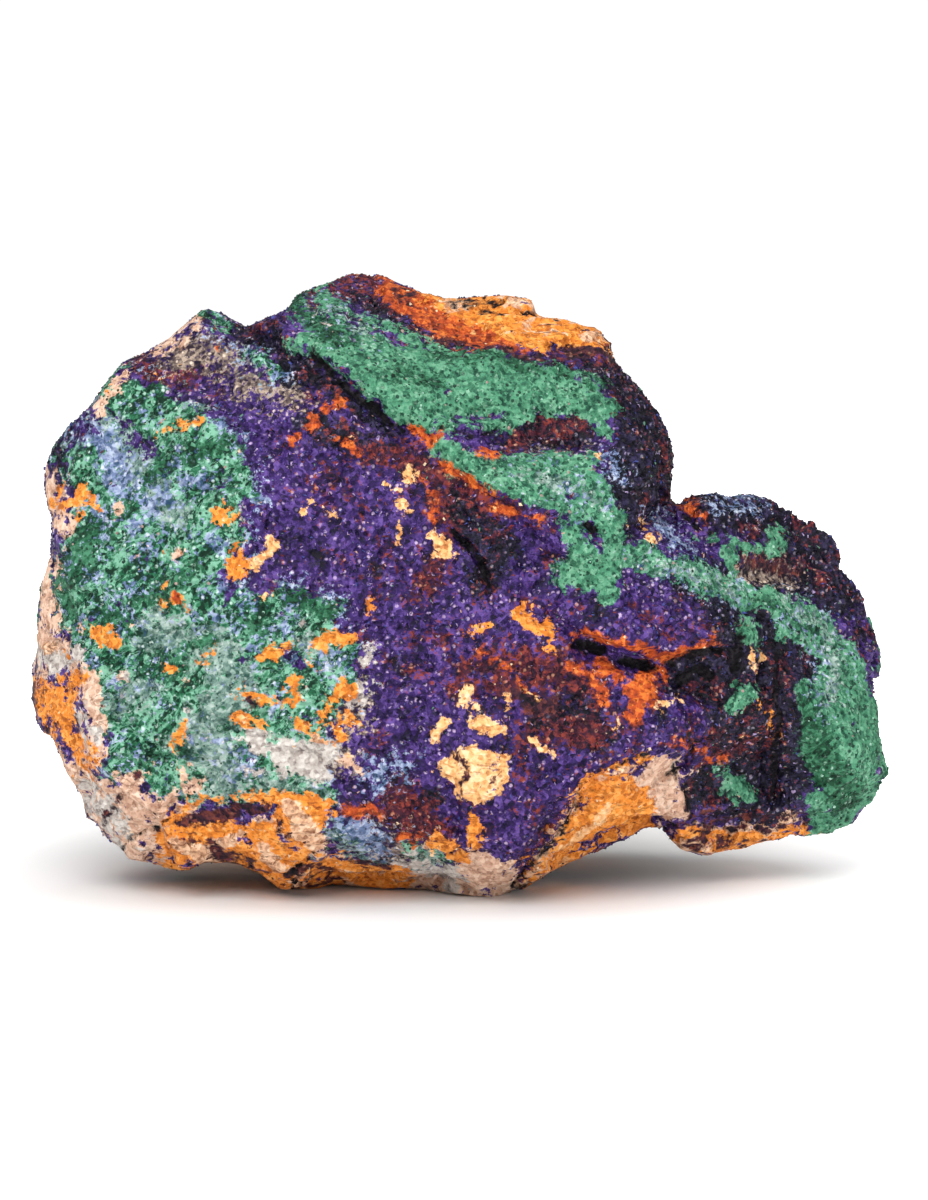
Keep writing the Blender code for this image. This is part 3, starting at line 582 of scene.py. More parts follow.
def chips(points: Array, cell: float, seed: int) -> Array:
    """Flat chips from about -1 to 1: each point belongs to its nearest seed, and takes that seed's
    lift plus its tilt times the distance from it.

    Args:
        points: places, one a row.
        cell: side of the cubes that hold one seed each, in metres.
        seed: which noise it is.

    Returns:
        One height for each point.
    """
    scaled = points / cell
    base = np.floor(scaled)
    nearest = np.full(len(points), 1e9)
    height = np.zeros(len(points))
    for step in np.ndindex(3, 3, 3):
        corner = base + np.array(step) - 1.0
        centre = corner + np.stack([hash01(corner, seed + k) for k in range(3)], axis=1)
        away = scaled - centre
        distance = np.einsum("ij,ij->i", away, away)
        tilt = np.stack([hash01(corner, seed + 3 + k) for k in range(3)], axis=1) * 2.0 - 1.0
        lift = hash01(corner, seed + 6) * 2.0 - 1.0
        value = CHIP_LIFT * lift + CHIP_TILT * np.einsum("ij,ij->i", away, tilt)
        closer = distance < nearest
        nearest = np.where(closer, distance, nearest)
        height = np.where(closer, value, height)
    return height


def spots(points: Array, cell: float, share: float, radius: float, seed: int) -> Array:
    """How deep each point lies in scattered balls: a share of the cubes hold one, of a random part of
    the radius, and the nearest counts.

    Args:
        points: places, one a row.
        cell: side of the cubes in metres.
        share: share of the cubes that hold a ball.
        radius: largest radius in metres.
        seed: which scatter it is.

    Returns:
        Radius less distance for each point, in metres.
    """
    base = np.floor(points / cell)
    depth = np.full(len(points), -cell)
    for step in np.ndindex(3, 3, 3):
        corner = base + np.array(step) - 1.0
        held = hash01(corner, seed) < share
        near = corner[held]
        centre = near + np.stack([hash01(near, seed + 1 + k) for k in range(3)], axis=1)
        ball = radius * (LEAST_BALL + (1.0 - LEAST_BALL) * hash01(near, seed + 4))
        away = np.linalg.norm(points[held] - centre * cell, axis=1)
        depth[held] = np.maximum(depth[held], ball - away)
    return depth


def unit(rows: Array) -> Array:
    """Every row, divided by its length."""
    return rows / np.maximum(np.linalg.norm(rows, axis=1), 1e-12)[:, None]


def get_points(mesh: Mesh) -> Array:
    """The vertices of a mesh, one a row."""
    points = np.empty(len(mesh.vertices) * 3)
    mesh.vertices.foreach_get("co", points)
    return points.reshape(-1, 3)


def set_points(mesh: Mesh, points: Array) -> None:
    """Writes the vertices of a mesh from an array."""
    mesh.vertices.foreach_set("co", np.ascontiguousarray(points).ravel())
    mesh.update()


def get_normals(mesh: Mesh) -> Array:
    """The vertex normals of a mesh, one a row."""
    normals = np.empty(len(mesh.vertices) * 3, dtype=np.float32)
    mesh.vertex_normals.foreach_get("vector", normals)
    return normals.reshape(-1, 3).astype(float)


def count_triangles(thing: Object) -> int:
    """How many triangles an object's faces make."""
    return sum(len(face.vertices) - 2 for face in thing.data.polygons)


def bake_modifiers(thing: Object) -> None:
    """Replaces an object's mesh by what its modifiers make of it."""
    depsgraph = bpy.context.evaluated_depsgraph_get()
    made = bpy.data.meshes.new_from_object(thing.evaluated_get(depsgraph))
    worn = thing.data
    thing.modifiers.clear()
    thing.data = made
    bpy.data.meshes.remove(worn)


def even_faces(thing: Object, voxel: float) -> None:
    """Remeshes an object into even faces of about one voxel."""
    remesh = thing.modifiers.new("even_faces", "REMESH")
    remesh.mode = "VOXEL"
    remesh.voxel_size = voxel
    bake_modifiers(thing)


def cube_ball(steps: int) -> tuple[Array, Array]:
    """Directions all round: each side of a cube is a grid of two parameters from -1 to 1, spaced by
    the tangent so that its cells look even from the middle, and points that fall together are merged.

    Args:
        steps: cells along an edge of the cube.

    Returns:
        The points, one a row, and the quads, four indices a row, facing outwards.
    """
    t = np.tan(np.linspace(-1.0, 1.0, steps + 1) * math.pi / 4.0)
    a, b = np.meshgrid(t, t, indexing="ij")
    one = np.ones_like(a)
    sides = [(one, a, b), (-one, b, a), (b, one, a), (a, -one, b), (a, b, one), (b, a, -one)]
    points = np.concatenate([np.stack(side, axis=-1).reshape(-1, 3) for side in sides])
    i, j = np.meshgrid(np.arange(steps), np.arange(steps), indexing="ij")
    corner = (i * (steps + 1) + j).ravel()
    quad = np.stack([corner, corner + steps + 1, corner + steps + 2, corner + 1], axis=1)
    quads = np.concatenate([quad + k * (steps + 1) ** 2 for k in range(6)])
    merged, first = np.unique(np.round(points, 6), axis=0, return_inverse=True)
    return merged, first.reshape(-1)[quads]


def mesh_object(name: str, points: Array, faces: Array) -> Object:
    """An object at the origin from arrays.

    Args:
        name: name of the object and its mesh.
        points: vertices, one a row.
        faces: vertex indices, one face a row, all with the same number of corners.

    Returns:
        The new object, linked to the scene.
    """
    mesh = bpy.data.meshes.new(name)
    corners = faces.shape[1]
    mesh.vertices.add(len(points))
    mesh.vertices.foreach_set("co", np.ascontiguousarray(points, dtype=np.float32).ravel())
    mesh.loops.add(faces.size)
    mesh.loops.foreach_set("vertex_index", np.ascontiguousarray(faces, dtype=np.int32).ravel())
    mesh.polygons.add(len(faces))
    mesh.polygons.foreach_set("loop_start", np.arange(0, faces.size, corners, dtype=np.int32))
    mesh.update(calc_edges=True)
    thing = bpy.data.objects.new(name, mesh)
    bpy.context.scene.collection.objects.link(thing)
    return thing


@dataclass(frozen=True)
class PhotoPlane:
    """The plane of the photograph, which carries every hand-drawn pixel to the stone and back.

    A point is (right, away, up) as the camera sees it. Deeper points spread with distance, and the
    whole is tilted by the camera's elevation to stand upright.
    """

    stone_width: float = 0.120
    stone_width_px: int = 864
    centre_px: tuple[int, int] = (464, 600)
    frame_px: tuple[int, int] = (928, 1200)
    distance: float = 0.90
    elevation: float = math.radians(8.0)
    foot_line_px: int = 898
    foot_depth: float = -0.008
    footprint_middle: Span = (-0.0007, 0.0002)

    @property
    def metres_per_px(self) -> float:
        """Size of a pixel on the plane."""
        return self.stone_width / self.stone_width_px

    def place(self, pixels: Array) -> Array:
        """The places of pixels on the plane, right and up from its centre, in metres."""
        pixels = np.atleast_2d(np.asarray(pixels, dtype=float))[:, :2]
        return (pixels - self.centre_px) * self.metres_per_px * np.array([1.0, -1.0])

    def pixel(self, flat: Array) -> Array:
        """The pixels of places on the plane."""
        return flat * np.array([1.0, -1.0]) / self.metres_per_px + self.centre_px

    def tilt(self, view: Array) -> Array:
        """Spreads deeper points by 1 + depth / distance and turns all by the elevation."""
        spread = 1.0 + view[:, 1] / self.distance
        right, up = view[:, 0] * spread, view[:, 2] * spread
        c, s = math.cos(self.elevation), math.sin(self.elevation)
        return np.stack([right, view[:, 1] * c + up * s, up * c - view[:, 1] * s], axis=1)

    @property
    def origin(self) -> Array:
        """Where the plane's centre lies in the frame that the stone stands in."""
        _, foot_up = self.place((self.centre_px[0], self.foot_line_px))[0]
        foot = self.tilt(np.array([[0.0, self.foot_depth, foot_up]]))[0]
        return np.array([-self.footprint_middle[0], -self.footprint_middle[1], -foot[2]])

    def upright(self, view: Array) -> Array:
        """Takes points as the camera sees them to the frame that the stone stands in."""
        return self.tilt(view) + self.origin

    def on_floor(self, view: Array) -> Array:
        """Lifts points that would lie below the floor onto it, and takes them back to the view by the
        same turn and spread the other way round.

        Args:
            view: points as the camera sees them.

        Returns:
            The points as the camera sees them, none below the floor.
        """
        stood = self.upright(view)
        stood[:, 2] = np.maximum(stood[:, 2], 0.0)
        stood -= self.origin
        c, s = math.cos(self.elevation), math.sin(self.elevation)
        away = stood[:, 1] * c - stood[:, 2] * s
        up = stood[:, 1] * s + stood[:, 2] * c
        spread = 1.0 + away / self.distance
        return np.stack([stood[:, 0] / spread, away, up / spread], axis=1)


PLANE = PhotoPlane()


def nearest_on_piece(flat: Array, start: Array, end: Array) -> tuple[Array, Array]:
    """The nearest place on a straight piece: how far along it a point lies, kept from 0 to 1.

    Args:
        flat: flat points, one a row.
        start: one end of the piece.
        end: its other end, which may be the same.

    Returns:
        For each point the share of the way along the piece, and the distance from there.
    """
    along = end - start
    share = np.clip(((flat - start) @ along) / max(along @ along, 1e-12), 0.0, 1.0)
    away = flat - start - share[:, None] * along
    return share, np.hypot(away[:, 0], away[:, 1])


class Outline:
    """The stone's outline on the plane, as its distance read from an even grid of nodes."""

    def __init__(self, knots_px: tuple[tuple[int, int], ...], spacing: float = 0.0004,
                 margin: float = 0.016) -> None:
        """Works out the distance at every node: the least distance from the outline's pieces, below
        zero where a ray to the right crosses them an odd number of times.

        Args:
            knots_px: the outline's corners in pixels.
            spacing: side of the grid's cells in metres.
            margin: how far the grid reaches past the outline.
        """
        knots = PLANE.place(np.array(knots_px))
        self.low = knots.min(axis=0) - margin
        self.spacing = spacing
        counts = np.ceil((knots.max(axis=0) + margin - self.low) / spacing).astype(int) + 1
        i, j = np.meshgrid(np.arange(counts[0]), np.arange(counts[1]), indexing="ij")
        flat = self.low + np.stack([i, j], axis=-1).reshape(-1, 2) * spacing
        best = np.full(len(flat), 1e9)
        inside = np.zeros(len(flat), dtype=bool)
        for start, end in zip(knots, np.roll(knots, -1, axis=0)):
            best = np.minimum(best, nearest_on_piece(flat, start, end)[1])
            if start[1] != end[1]:
                spans = (start[1] > flat[:, 1]) != (end[1] > flat[:, 1])
                crossing = start[0] + (flat[:, 1] - start[1]) / (end[1] - start[1]) * (end[0] - start[0])
                inside ^= spans & (flat[:, 0] < crossing)
        self.nodes = np.where(inside, -best, best).reshape(counts)

    def offset(self, flat: Array) -> Array:
        """Distance from the outline, blended between the four nodes around a point.

        Args:
            flat: points on the plane, one a row.

        Returns:
            One distance in metres for each point, below zero inside the outline.
        """
        scaled = (flat - self.low) / self.spacing
        top = np.array(self.nodes.shape) - 2
        base = np.clip(np.floor(scaled).astype(int), 0, top)
        t = np.clip(scaled - base, 0.0, 1.0)
        i, j = base[:, 0], base[:, 1]
        lower = self.nodes[i, j] * (1 - t[:, 0]) + self.nodes[i + 1, j] * t[:, 0]
        upper = self.nodes[i, j + 1] * (1 - t[:, 0]) + self.nodes[i + 1, j + 1] * t[:, 0]
        beyond = np.linalg.norm(scaled - base - t, axis=1) * self.spacing
        return lower * (1 - t[:, 1]) + upper * t[:, 1] + beyond


def line_offset(flat: Array, line: tuple[tuple[int, int], ...]) -> Array:
    """Distance from a line of pixels, signed by the turn from its nearest piece to the point.

    Args:
        flat: points on the plane, one a row.
        line: pixels along the line.

    Returns:
        One distance in metres for each point, below zero on the line's right.
    """
    knots = PLANE.place(np.array(line))
    best = np.full(len(flat), 1e9)
    side = np.ones(len(flat))
    for start, end in zip(knots[:-1], knots[1:]):
        along = end - start
        distance = nearest_on_piece(flat, start, end)[1]
        turn = along[0] * (flat[:, 1] - start[1]) - along[1] * (flat[:, 0] - start[0])
        closer = distance < best - 1e-9
        best = np.where(closer, distance, best)
        side = np.where(closer, np.sign(turn), side)
    return best * side


@dataclass(frozen=True)
class Scatter:
    """Small spots of a mineral: cell, share of cells, largest radius, seed, and the minerals that the
    spots keep to, if any."""

    cell: float
    share: float
    radius: float
    seed: int
    over: tuple[Mineral, ...] = ()

    def depth(self, view: Array) -> Array:
        """How deep points lie in the spots, in millimetres."""
        return spots(view, self.cell, self.share, self.radius, self.seed) / MILLIMETRE


@dataclass
class MineralMap:
    """Where each mineral lies: strokes on the front, and large ragged patches behind.

    A field is a distance in millimetres, above zero inside the mineral. `clean` holds strokes over
    the faces that stay without spots and holes, and a back patch is its cell, level and seed.
    """

    strokes: dict[Mineral, Strokes]
    outline: Outline
    clean: dict[str, Stroke] = field(default_factory=lambda: {
        "slab": (560, 846, 10, 600, 812, 28, 640, 790, 24, 668, 786, 18),
        "facet": (440, 308, 14, 500, 314, 24, 560, 328, 16, 606, 338, 10),
        "lump": (466, 772, 22, 492, 776, 16),
        "prong": (108, 742, 12, 142, 738, 16, 162, 792, 9),
        "pale_patch": (262, 752, 8, 320, 762, 12),
    })
    steady: dict[Mineral, float] = field(default_factory=lambda: {HOLLOW: 0.55, EMBER: 0.7})
    limit: float = 9.0
    wander: tuple[Swing, ...] = ((0.0042, 0.0008, 71), (0.0017, 0.00055, 83), (0.0008, 0.0003, 89))
    rim_reach: float = 0.0014
    rim_step: float = 0.0003
    side_wander: Swing = (0.008, 0.0036, 91)
    side_turn: Span = (0.55, 0.0)
    behind: Span = (0.001, 0.009)
    behind_turn: Span = (0.35, 0.7)
    behind_sway: Swing = (0.01, 0.005, 97)
    patch_sizes: tuple[Span, ...] = ((1.0, 0.7), (0.38, 0.3), (0.15, 0.16))
    patch_slope: float = 0.8
    host_margin: float = 0.4
    crust_gap: float = 0.3
    back_patches: dict[Mineral, tuple[float, float, int]] = field(default_factory=lambda: {
        NIGHT: (0.015, -0.1, 101),
        STAIN: (0.011, 0.02, 113),
        MATRIX: (0.01, 0.18, 119),
        BLOOM: (0.012, 0.42, 127),
        EMERALD: (0.019, 0.24, 131),
        MALACHITE: (0.016, 0.26, 149),
        VERDIGRIS: (0.012, 0.34, 151),
        MOSS: (0.009, 0.36, 153),
        CLAY: (0.018, 0.3, 157),
        CHALK: (0.011, 0.48, 159),
        LIMONITE: (0.014, 0.36, 163),
        EMBER: (0.007, 0.44, 173),
        FLAKE: (0.008, 0.52, 177),
        PEACH: (0.006, 0.52, 181),
        UMBER: (0.006, 0.46, 187),
        # Small patches of painted shade on the sides and the back
        HOLLOW: (0.005, 0.76, 191),
    })
    crumbs: dict[Mineral, Scatter] = field(default_factory=lambda: {
        NIGHT: Scatter(0.0034, 0.3, 0.0012, 307),
        STAIN: Scatter(0.0034, 0.48, 0.0011, 313),
        MOSS: Scatter(0.0027, 0.34, 0.001, 331, over=(EMERALD, VERDIGRIS)),
        VERDIGRIS: Scatter(0.0032, 0.26, 0.0009, 337, over=(EMERALD,)),
        BLOOM: Scatter(0.0027, 0.36, 0.0007, 347, over=(EMERALD, VERDIGRIS)),
        CLAY: Scatter(0.0038, 0.16, 0.0006, 349, over=(EMERALD, VERDIGRIS)),
        CHALK: Scatter(0.0034, 0.22, 0.0006, 409, over=(CLAY, VERDIGRIS)),
        LIMONITE: Scatter(0.0042, 0.12, 0.0006, 353, over=(EMERALD, VERDIGRIS)),
        EMBER: Scatter(0.0034, 0.24, 0.0005, 359, over=(STAIN,)),
        UMBER: Scatter(0.0032, 0.3, 0.0008, 401, over=(CLAY, LIMONITE)),
        FLAKE: Scatter(0.003, 0.3, 0.001, 367, over=(LIMONITE,)),
        PEACH: Scatter(0.0034, 0.26, 0.0005, 373, over=(STAIN, MATRIX)),
    })
    holes: dict[Mineral, Scatter] = field(default_factory=lambda: {
        EMERALD: Scatter(0.0034, 0.2, 0.0008, 379),
        MALACHITE: Scatter(0.0028, 0.16, 0.0005, 383),
        CLAY: Scatter(0.0036, 0.2, 0.0004, 389),
        LIMONITE: Scatter(0.0034, 0.24, 0.0007, 397),
    })

    @staticmethod
    def drawn(strokes: Iterable[Stroke], pixels: Array) -> Array:
        """How deep pixels lie inside strokes: along every piece of a stroke the half-width, blended
        between its knots, less the distance from the piece; the largest counts.

        Args:
            strokes: the strokes.
            pixels: places on the photograph, one a row.

        Returns:
            One depth in millimetres for each pixel.
        """
        best = np.full(len(pixels), -1e3)
        for stroke in strokes:
            knots = np.array(stroke, dtype=float).reshape(-1, 3)
            for start, end in zip(knots, knots[1:] if len(knots) > 1 else knots):
                share, distance = nearest_on_piece(pixels, start[:2], end[:2])
                best = np.maximum(best, start[2] + share * (end[2] - start[2]) - distance)
        return best * PLANE.metres_per_px / MILLIMETRE

    def drawn_in(self, flat: Array) -> Array:
        """Moves points near the outline straight inwards, so that strokes carry on over the rim: the
        distance that is short of the reach, against the slope of the outline's distance.

        Args:
            flat: points on the plane, one a row.

        Returns:
            The points, none nearer to the outline than the reach.
        """
        here = self.outline.offset(flat)
        steps = np.eye(2) * self.rim_step
        slope = np.stack([self.outline.offset(flat + step) - here for step in steps], axis=1)
        slope /= np.maximum(np.linalg.norm(slope, axis=1), 1e-9)[:, None]
        return flat - slope * np.maximum(here + self.rim_reach, 0.0)[:, None]

    def patch(self, mineral: Mineral, view: Array) -> Array:
        """Patches for the sides and the back: three sizes of swell, added, less a level.

        Args:
            mineral: whose patches they are.
            view: points as the camera sees them.

        Returns:
            The mineral's field there, in millimetres.
        """
        cell, level, seed = self.back_patches[mineral]
        value = np.zeros(len(view))
        for k, (size, share) in enumerate(self.patch_sizes):
            value += share * swell(view, cell * size, seed + k)
        return (value - level) * cell * self.patch_slope / MILLIMETRE

    def fields(self, view: Array, normals: Array) -> dict[Mineral, Array]:
        """The field of every mineral at points of the surface.

        Args:
            view: points as the camera sees them.
            normals: their normals.

        Returns:
            One array a mineral; azurite is what the others leave, and has none.
        """
        flat = self.drawn_in(view[:, [0, 2]])
        stray = np.zeros_like(flat)
        for cell, reach, seed in self.wander:
            stray += reach * two_swells(view, cell, seed)
        cell, reach, seed = self.side_wander
        turned = smooth_step(*self.side_turn, -normals[:, 1])
        stray += reach * turned[:, None] * two_swells(view, cell, seed)
        cell, reach, seed = self.behind_sway
        depth = view[:, 1] + reach * swell(view, cell, seed)
        back = np.maximum(smooth_step(*self.behind, depth), smooth_step(*self.behind_turn, normals[:, 1]))
        found = {}
        for mineral, strokes in self.strokes.items():
            pixels = PLANE.pixel(flat + stray * self.steady.get(mineral, 1.0))
            front_field = self.drawn(chain(*strokes.values()), pixels)
            blend = front_field * (1.0 - back) + self.patch(mineral, view) * back
            found[mineral] = np.clip(blend, -self.limit, self.limit)
        clean = self.drawn(self.clean.values(), PLANE.pixel(flat + stray)) - self.limit * back
        return self.scattered(found, view, clean)

    def scattered(self, found: dict[Mineral, Array], view: Array,
                  clean: Array) -> dict[Mineral, Array]:
        """Adds each mineral's spots, kept to the minerals that they lie over, and takes its holes.

        Args:
            found: the fields so far.
            view: points as the camera sees them.
            clean: how deep each point lies in the clean faces, which stay without spots and holes.

        Returns:
            The fields with their spots and holes.
        """
        drawn = dict(found)
        for mineral, scatter in self.crumbs.items():
            depth = np.minimum(scatter.depth(view), -clean)
            if scatter.over:
                ground = np.max([drawn[host] for host in scatter.over], axis=0)
                depth = np.minimum(depth, ground + self.host_margin)
            depth = np.minimum(depth, self.crust_gap - drawn[MALACHITE])
            found[mineral] = np.maximum(found[mineral], depth)
        for mineral, scatter in self.holes.items():
            found[mineral] = np.minimum(found[mineral], np.maximum(-scatter.depth(view), clean))
        return found

    @staticmethod
    def cover(fields: dict[Mineral, Array]) -> dict[Mineral, Array]:
        """The share of each mineral that shows: from the top one down, its own mask times what is left.

        Args:
            fields: the fields of all minerals but azurite.

        Returns:
            One array a mineral; azurite takes what the others leave.
        """
        left = np.ones(len(next(iter(fields.values()))))
        shares = {}
        for mineral in list(Mineral)[:0:-1]:
            shares[mineral] = left * smooth_step(-MASK_EDGE, MASK_EDGE, fields[mineral])
            left = left - shares[mineral]
        shares[AZURITE] = left
        return shares


@dataclass(frozen=True)
class FineRelief:
    """The fine relief of the minerals: which patterns each set of them wears, at which heights."""

    worn: dict[tuple[Mineral, ...], dict[str, float]] = field(default_factory=lambda: {
        (MALACHITE,): {"swells": 0.0002, "small": 0.00016},
        (EMERALD,): {"streaks": 0.00042, "small": 0.00022, "plain": 0.00018},
        (AZURITE, STAIN, NIGHT): {
            "middle": 0.00034, "small": 0.00026, "swells": 0.00012},
        (MOSS,): {"streaks": 0.0003, "small": 0.0003},
        (BLOOM, VERDIGRIS, MATRIX): {"small": 0.00026, "swells": 0.0002},
        (PEACH, CLAY, CHALK): {"middle": 0.00016},
        (FLAKE,): {"plain": 0.0004, "layers": 0.0002},
        (LIMONITE, EMBER): {"layers": 0.00014, "middle": 0.00022},
    })
    deeper: dict[Mineral, float] = field(default_factory=lambda: {NIGHT: 1.5})
    crust_height: float = 0.00052
    crust_edge: Span = (-0.5, 0.7)
    crust_ragged: float = 0.5
    dome_height: float = 0.00055
    dome_edge: Span = (-0.2, 0.9)
    hollow_depth: float = 0.0011
    hollow_edge: Span = (-0.3, 0.6)
    rim_share: float = 0.6
    rim_height: float = 0.0001
    middle_chips: Noise = (0.0022, 223)
    small_chips: Noise = (0.0011, 211)
    swell_grain: Noise = (0.0012, 229)
    streak_grain: Noise = (0.0011, 233)
    fine_streak_grain: Noise = (0.0005, 239)
    fine_streaks: float = 0.6
    layer_height: float = 0.00042 * 3.2
    layer_bend: float = 2.2
    layer_grain: Noise = (0.006, 241)

    def patterns(self, view: Array, streaked: Array) -> dict[str, Array]:
        """The patterns, from -1 to 1: swells, small and middle chips, streaks as two swells of drawn-out
        places, and thin level layers as a sine of the height, bent by a swell.

        Args:
            view: points as the camera sees them.
            streaked: the same points with the streaks drawn out.

        Returns:
            One array for each pattern, by name.
        """
        streaks = swell(streaked, *self.streak_grain)
        streaks = streaks + self.fine_streaks * swell(streaked, *self.fine_streak_grain)
        turns = view[:, 2] / self.layer_height * math.tau
        return {
            "plain": np.ones(len(view)),
            "swells": swell(view, *self.swell_grain),
            "small": chips(view, *self.small_chips),
            "middle": chips(view, *self.middle_chips),
            "streaks": streaks,
            "layers": np.sin(turns + self.layer_bend * swell(view, *self.layer_grain)),
        }


@dataclass
class StoneForm:
    """The stone's surface: what is left between its fracture faces inside its outline, with its
    ledges, hollows, clefts and chips, and a fine relief that follows its minerals."""

    outline: Outline
    minerals: MineralMap
    name: str = "stone_surface"
    ball_steps: int = 110
    form_voxel: float = 0.0007
    fine_voxel: float = 0.00042
    triangle_limit: int = 196000
    heart_px: tuple[int, int] = (440, 610)
    ball_shape: Place = (0.5, 0.24, 0.37)
    ball_reach: float = 0.7
    bisection_steps: int = 20
    wall_rounding: float = 0.0015
    wall_rounding_depth: float = 0.012
    wall_rounding_power: float = 2.4
    edge_softness: float = 0.0009
    chip_sizes: tuple[Swing, ...] = ((0.0135, 0.0034, 11), (0.0062, 0.0016, 23), (0.003, 0.0006, 37))
    swells: Swing = (0.022, 0.0022, 5)
    front_turn: Span = (0.05, 0.45)
    front_share: float = 0.35
    outline_share: float = 0.16
    outline_band: float = 0.002
    outline_band_depth: Span = (0.0022, 0.0056)
    ragged: Swing = (0.0055, 0.0011, 53)
    ledge_rise: Span = (-0.0004, 0.0006)
    streak_angle: float = math.radians(40.0)
    streak_stretch: float = 4.0
    tone_shares: Place = (0.45, 0.8, 0.6)
    fine: FineRelief = field(default_factory=FineRelief)

    def stone_field(self, view: Array) -> Array:
        """How far outside the stone each point lies: the softened largest of its distance outside
        the outline, drawn in with a power of the depth, and outside every fracture face.

        Args:
            view: points as the camera sees them.

        Returns:
            One distance in metres for each point, below zero inside the stone.
        """
        drawn_in = self.wall_rounding * (
            np.abs(view[:, 1]) / self.wall_rounding_depth) ** self.wall_rounding_power
        fields = [self.outline.offset(view[:, [0, 2]]) + drawn_in]
        for pixel, away, facing in FRACTURE_FACES.values():
            u, v = PLANE.place(pixel)[0]
            normal = np.array(facing) / np.linalg.norm(facing)
            fields.append((view - np.array([u, away, v])) @ normal)
        fields = np.array(fields)
        top = fields.max(axis=0)
        return top + self.edge_softness * np.log(np.exp((fields - top) / self.edge_softness).sum(axis=0))

    def rough_form(self) -> Object:
        """A ball of directions whose points move out from the stone's heart until they meet its
        field, found by halving the span between inside and outside."""
        directions, quads = cube_ball(self.ball_steps)
        directions = unit(unit(directions) * np.array(self.ball_shape))
        heart_right, heart_up = PLANE.place(self.heart_px)[0]
        heart = np.array([heart_right, 0.0, heart_up])
        near = np.zeros(len(directions))
        far = np.full(len(directions), PLANE.stone_width * self.ball_reach)
        for _ in range(self.bisection_steps):
            middle = (near + far) / 2.0
            outside = self.stone_field(heart + directions * middle[:, None]) > 0.0
            far = np.where(outside, middle, far)
            near = np.where(outside, near, middle)
        stone = mesh_object(self.name, heart + directions * near[:, None], quads)
        even_faces(stone, self.form_voxel)
        return stone

    def relief(self, view: Array, normals: Array) -> Array:
        """How far each point is pushed out along its normal: mounds, ledges and clefts on the front,
        swells and chips everywhere, weaker on the front and where the outline lies. Nothing is
        pushed out past the outline.

        Args:
            view: points as the camera sees them.
            normals: their normals.

        Returns:
            One height in metres for each point.
        """
        flat = view[:, [0, 2]]
        room = -self.outline.offset(flat)
        cell, reach, seed = self.ragged
        flat = flat + reach * two_swells(view, cell, seed)
        front = smooth_step(*self.front_turn, -normals[:, 1])
        height = np.zeros(len(view))
        for pixel, (half_long, half_across), turn, lift in MOUNDS.values():
            away = (flat - PLANE.place(pixel)) / PLANE.metres_per_px
            c, s = math.cos(math.radians(turn)), math.sin(math.radians(turn))
            along = (away[:, 0] * c + away[:, 1] * s) / half_long
            across = (away[:, 1] * c - away[:, 0] * s) / half_across
            height += front * lift * np.exp(-(along**2 + across**2) ** 1.5)
        for line, lift, reach in LEDGES.values():
            offset = line_offset(flat, line)
            rise = smooth_step(*self.ledge_rise, offset) * (1.0 - smooth_step(0.0, reach, offset))
            ends = 1.0 - smooth_step(0.0, reach, np.abs(offset))
            height += front * lift * rise * ends
        for line, half_width, depth in CLEFTS.values():
            offset = np.abs(line_offset(flat, line))
            height -= front * depth * np.exp(-((offset / half_width) ** 2))
        rim = 1.0 - smooth_step(0.0, self.outline_band, room)
        rim *= 1.0 - smooth_step(*self.outline_band_depth, np.abs(view[:, 1]))
        share = 1.0 - front * (1.0 - self.front_share)
        share *= 1.0 - rim * (1.0 - self.outline_share)
        rough = self.swells[1] * swell(view, self.swells[0], self.swells[2])
        for cell, lift, seed in self.chip_sizes:
            rough += lift * chips(view, cell, seed)
        return np.minimum(height + share * rough, np.maximum(room, 0.0))

    def streaked(self, view: Array) -> Array:
        """Places to read noise at: the points turned so that the green streaks lie along the first
        axis, which is then shortened by their stretch."""
        c, s = math.cos(self.streak_angle), math.sin(self.streak_angle)
        along = view[:, 0] * c + view[:, 2] * s
        across = view[:, 2] * c - view[:, 0] * s
        return np.stack([along / self.streak_stretch, view[:, 1], across], axis=1)

    def grain(self, view: Array, normals: Array) -> Array:
        """The fine relief: every mineral that shows wears its own patterns at their heights, the green
        crust stands up with a ragged edge, pale lumps are domed and hollows go in.

        Args:
            view: points as the camera sees them.
            normals: their normals.

        Returns:
            One height in metres for each point, small near the outline.
        """
        fields = self.minerals.fields(view, normals)
        shares = self.minerals.cover(fields)
        wear = self.fine
        patterns = wear.patterns(view, self.streaked(view))
        edge = fields[MALACHITE] + wear.crust_ragged * patterns["swells"]
        height = wear.crust_height * smooth_step(*wear.crust_edge, edge)
        for hosts, heights in wear.worn.items():
            shown = sum(wear.deeper.get(mineral, 1.0) * shares[mineral] for mineral in hosts)
            height += shown * sum(lift * patterns[name] for name, lift in heights.items())
        dome = smooth_step(*wear.dome_edge, fields[PEACH])
        height += shares[PEACH] * wear.dome_height * dome
        height -= wear.hollow_depth * smooth_step(*wear.hollow_edge, fields[HOLLOW])
        room = np.maximum(-self.outline.offset(view[:, [0, 2]]), 0.0)
        return np.minimum(height, wear.rim_share * room + wear.rim_height)

    def relief_shading(self, view: Array) -> Array:
        """Painted shade and highlight from the relief: from -1 in its dips, which the finish paints darker,
        to 1 on its tips, which it paints paler: its chips of three sizes, added.
        """
        cell, _, seed = self.chip_sizes[-1]
        sizes = ((cell, seed), self.fine.middle_chips, self.fine.small_chips)
        tone = sum(share * chips(view, *size) for share, size in zip(self.tone_shares, sizes))
        return np.clip(tone, -1.0, 1.0)

    def thin_faces(self, stone: Object) -> None:
        """Merges faces where the surface is plain, down to the limit of triangles."""
        triangles = count_triangles(stone)
        if triangles > self.triangle_limit:
            decimate = stone.modifiers.new("thin_faces", "DECIMATE")
            decimate.ratio = self.triangle_limit / triangles
            decimate.use_collapse_triangulate = True
            bake_modifiers(stone)

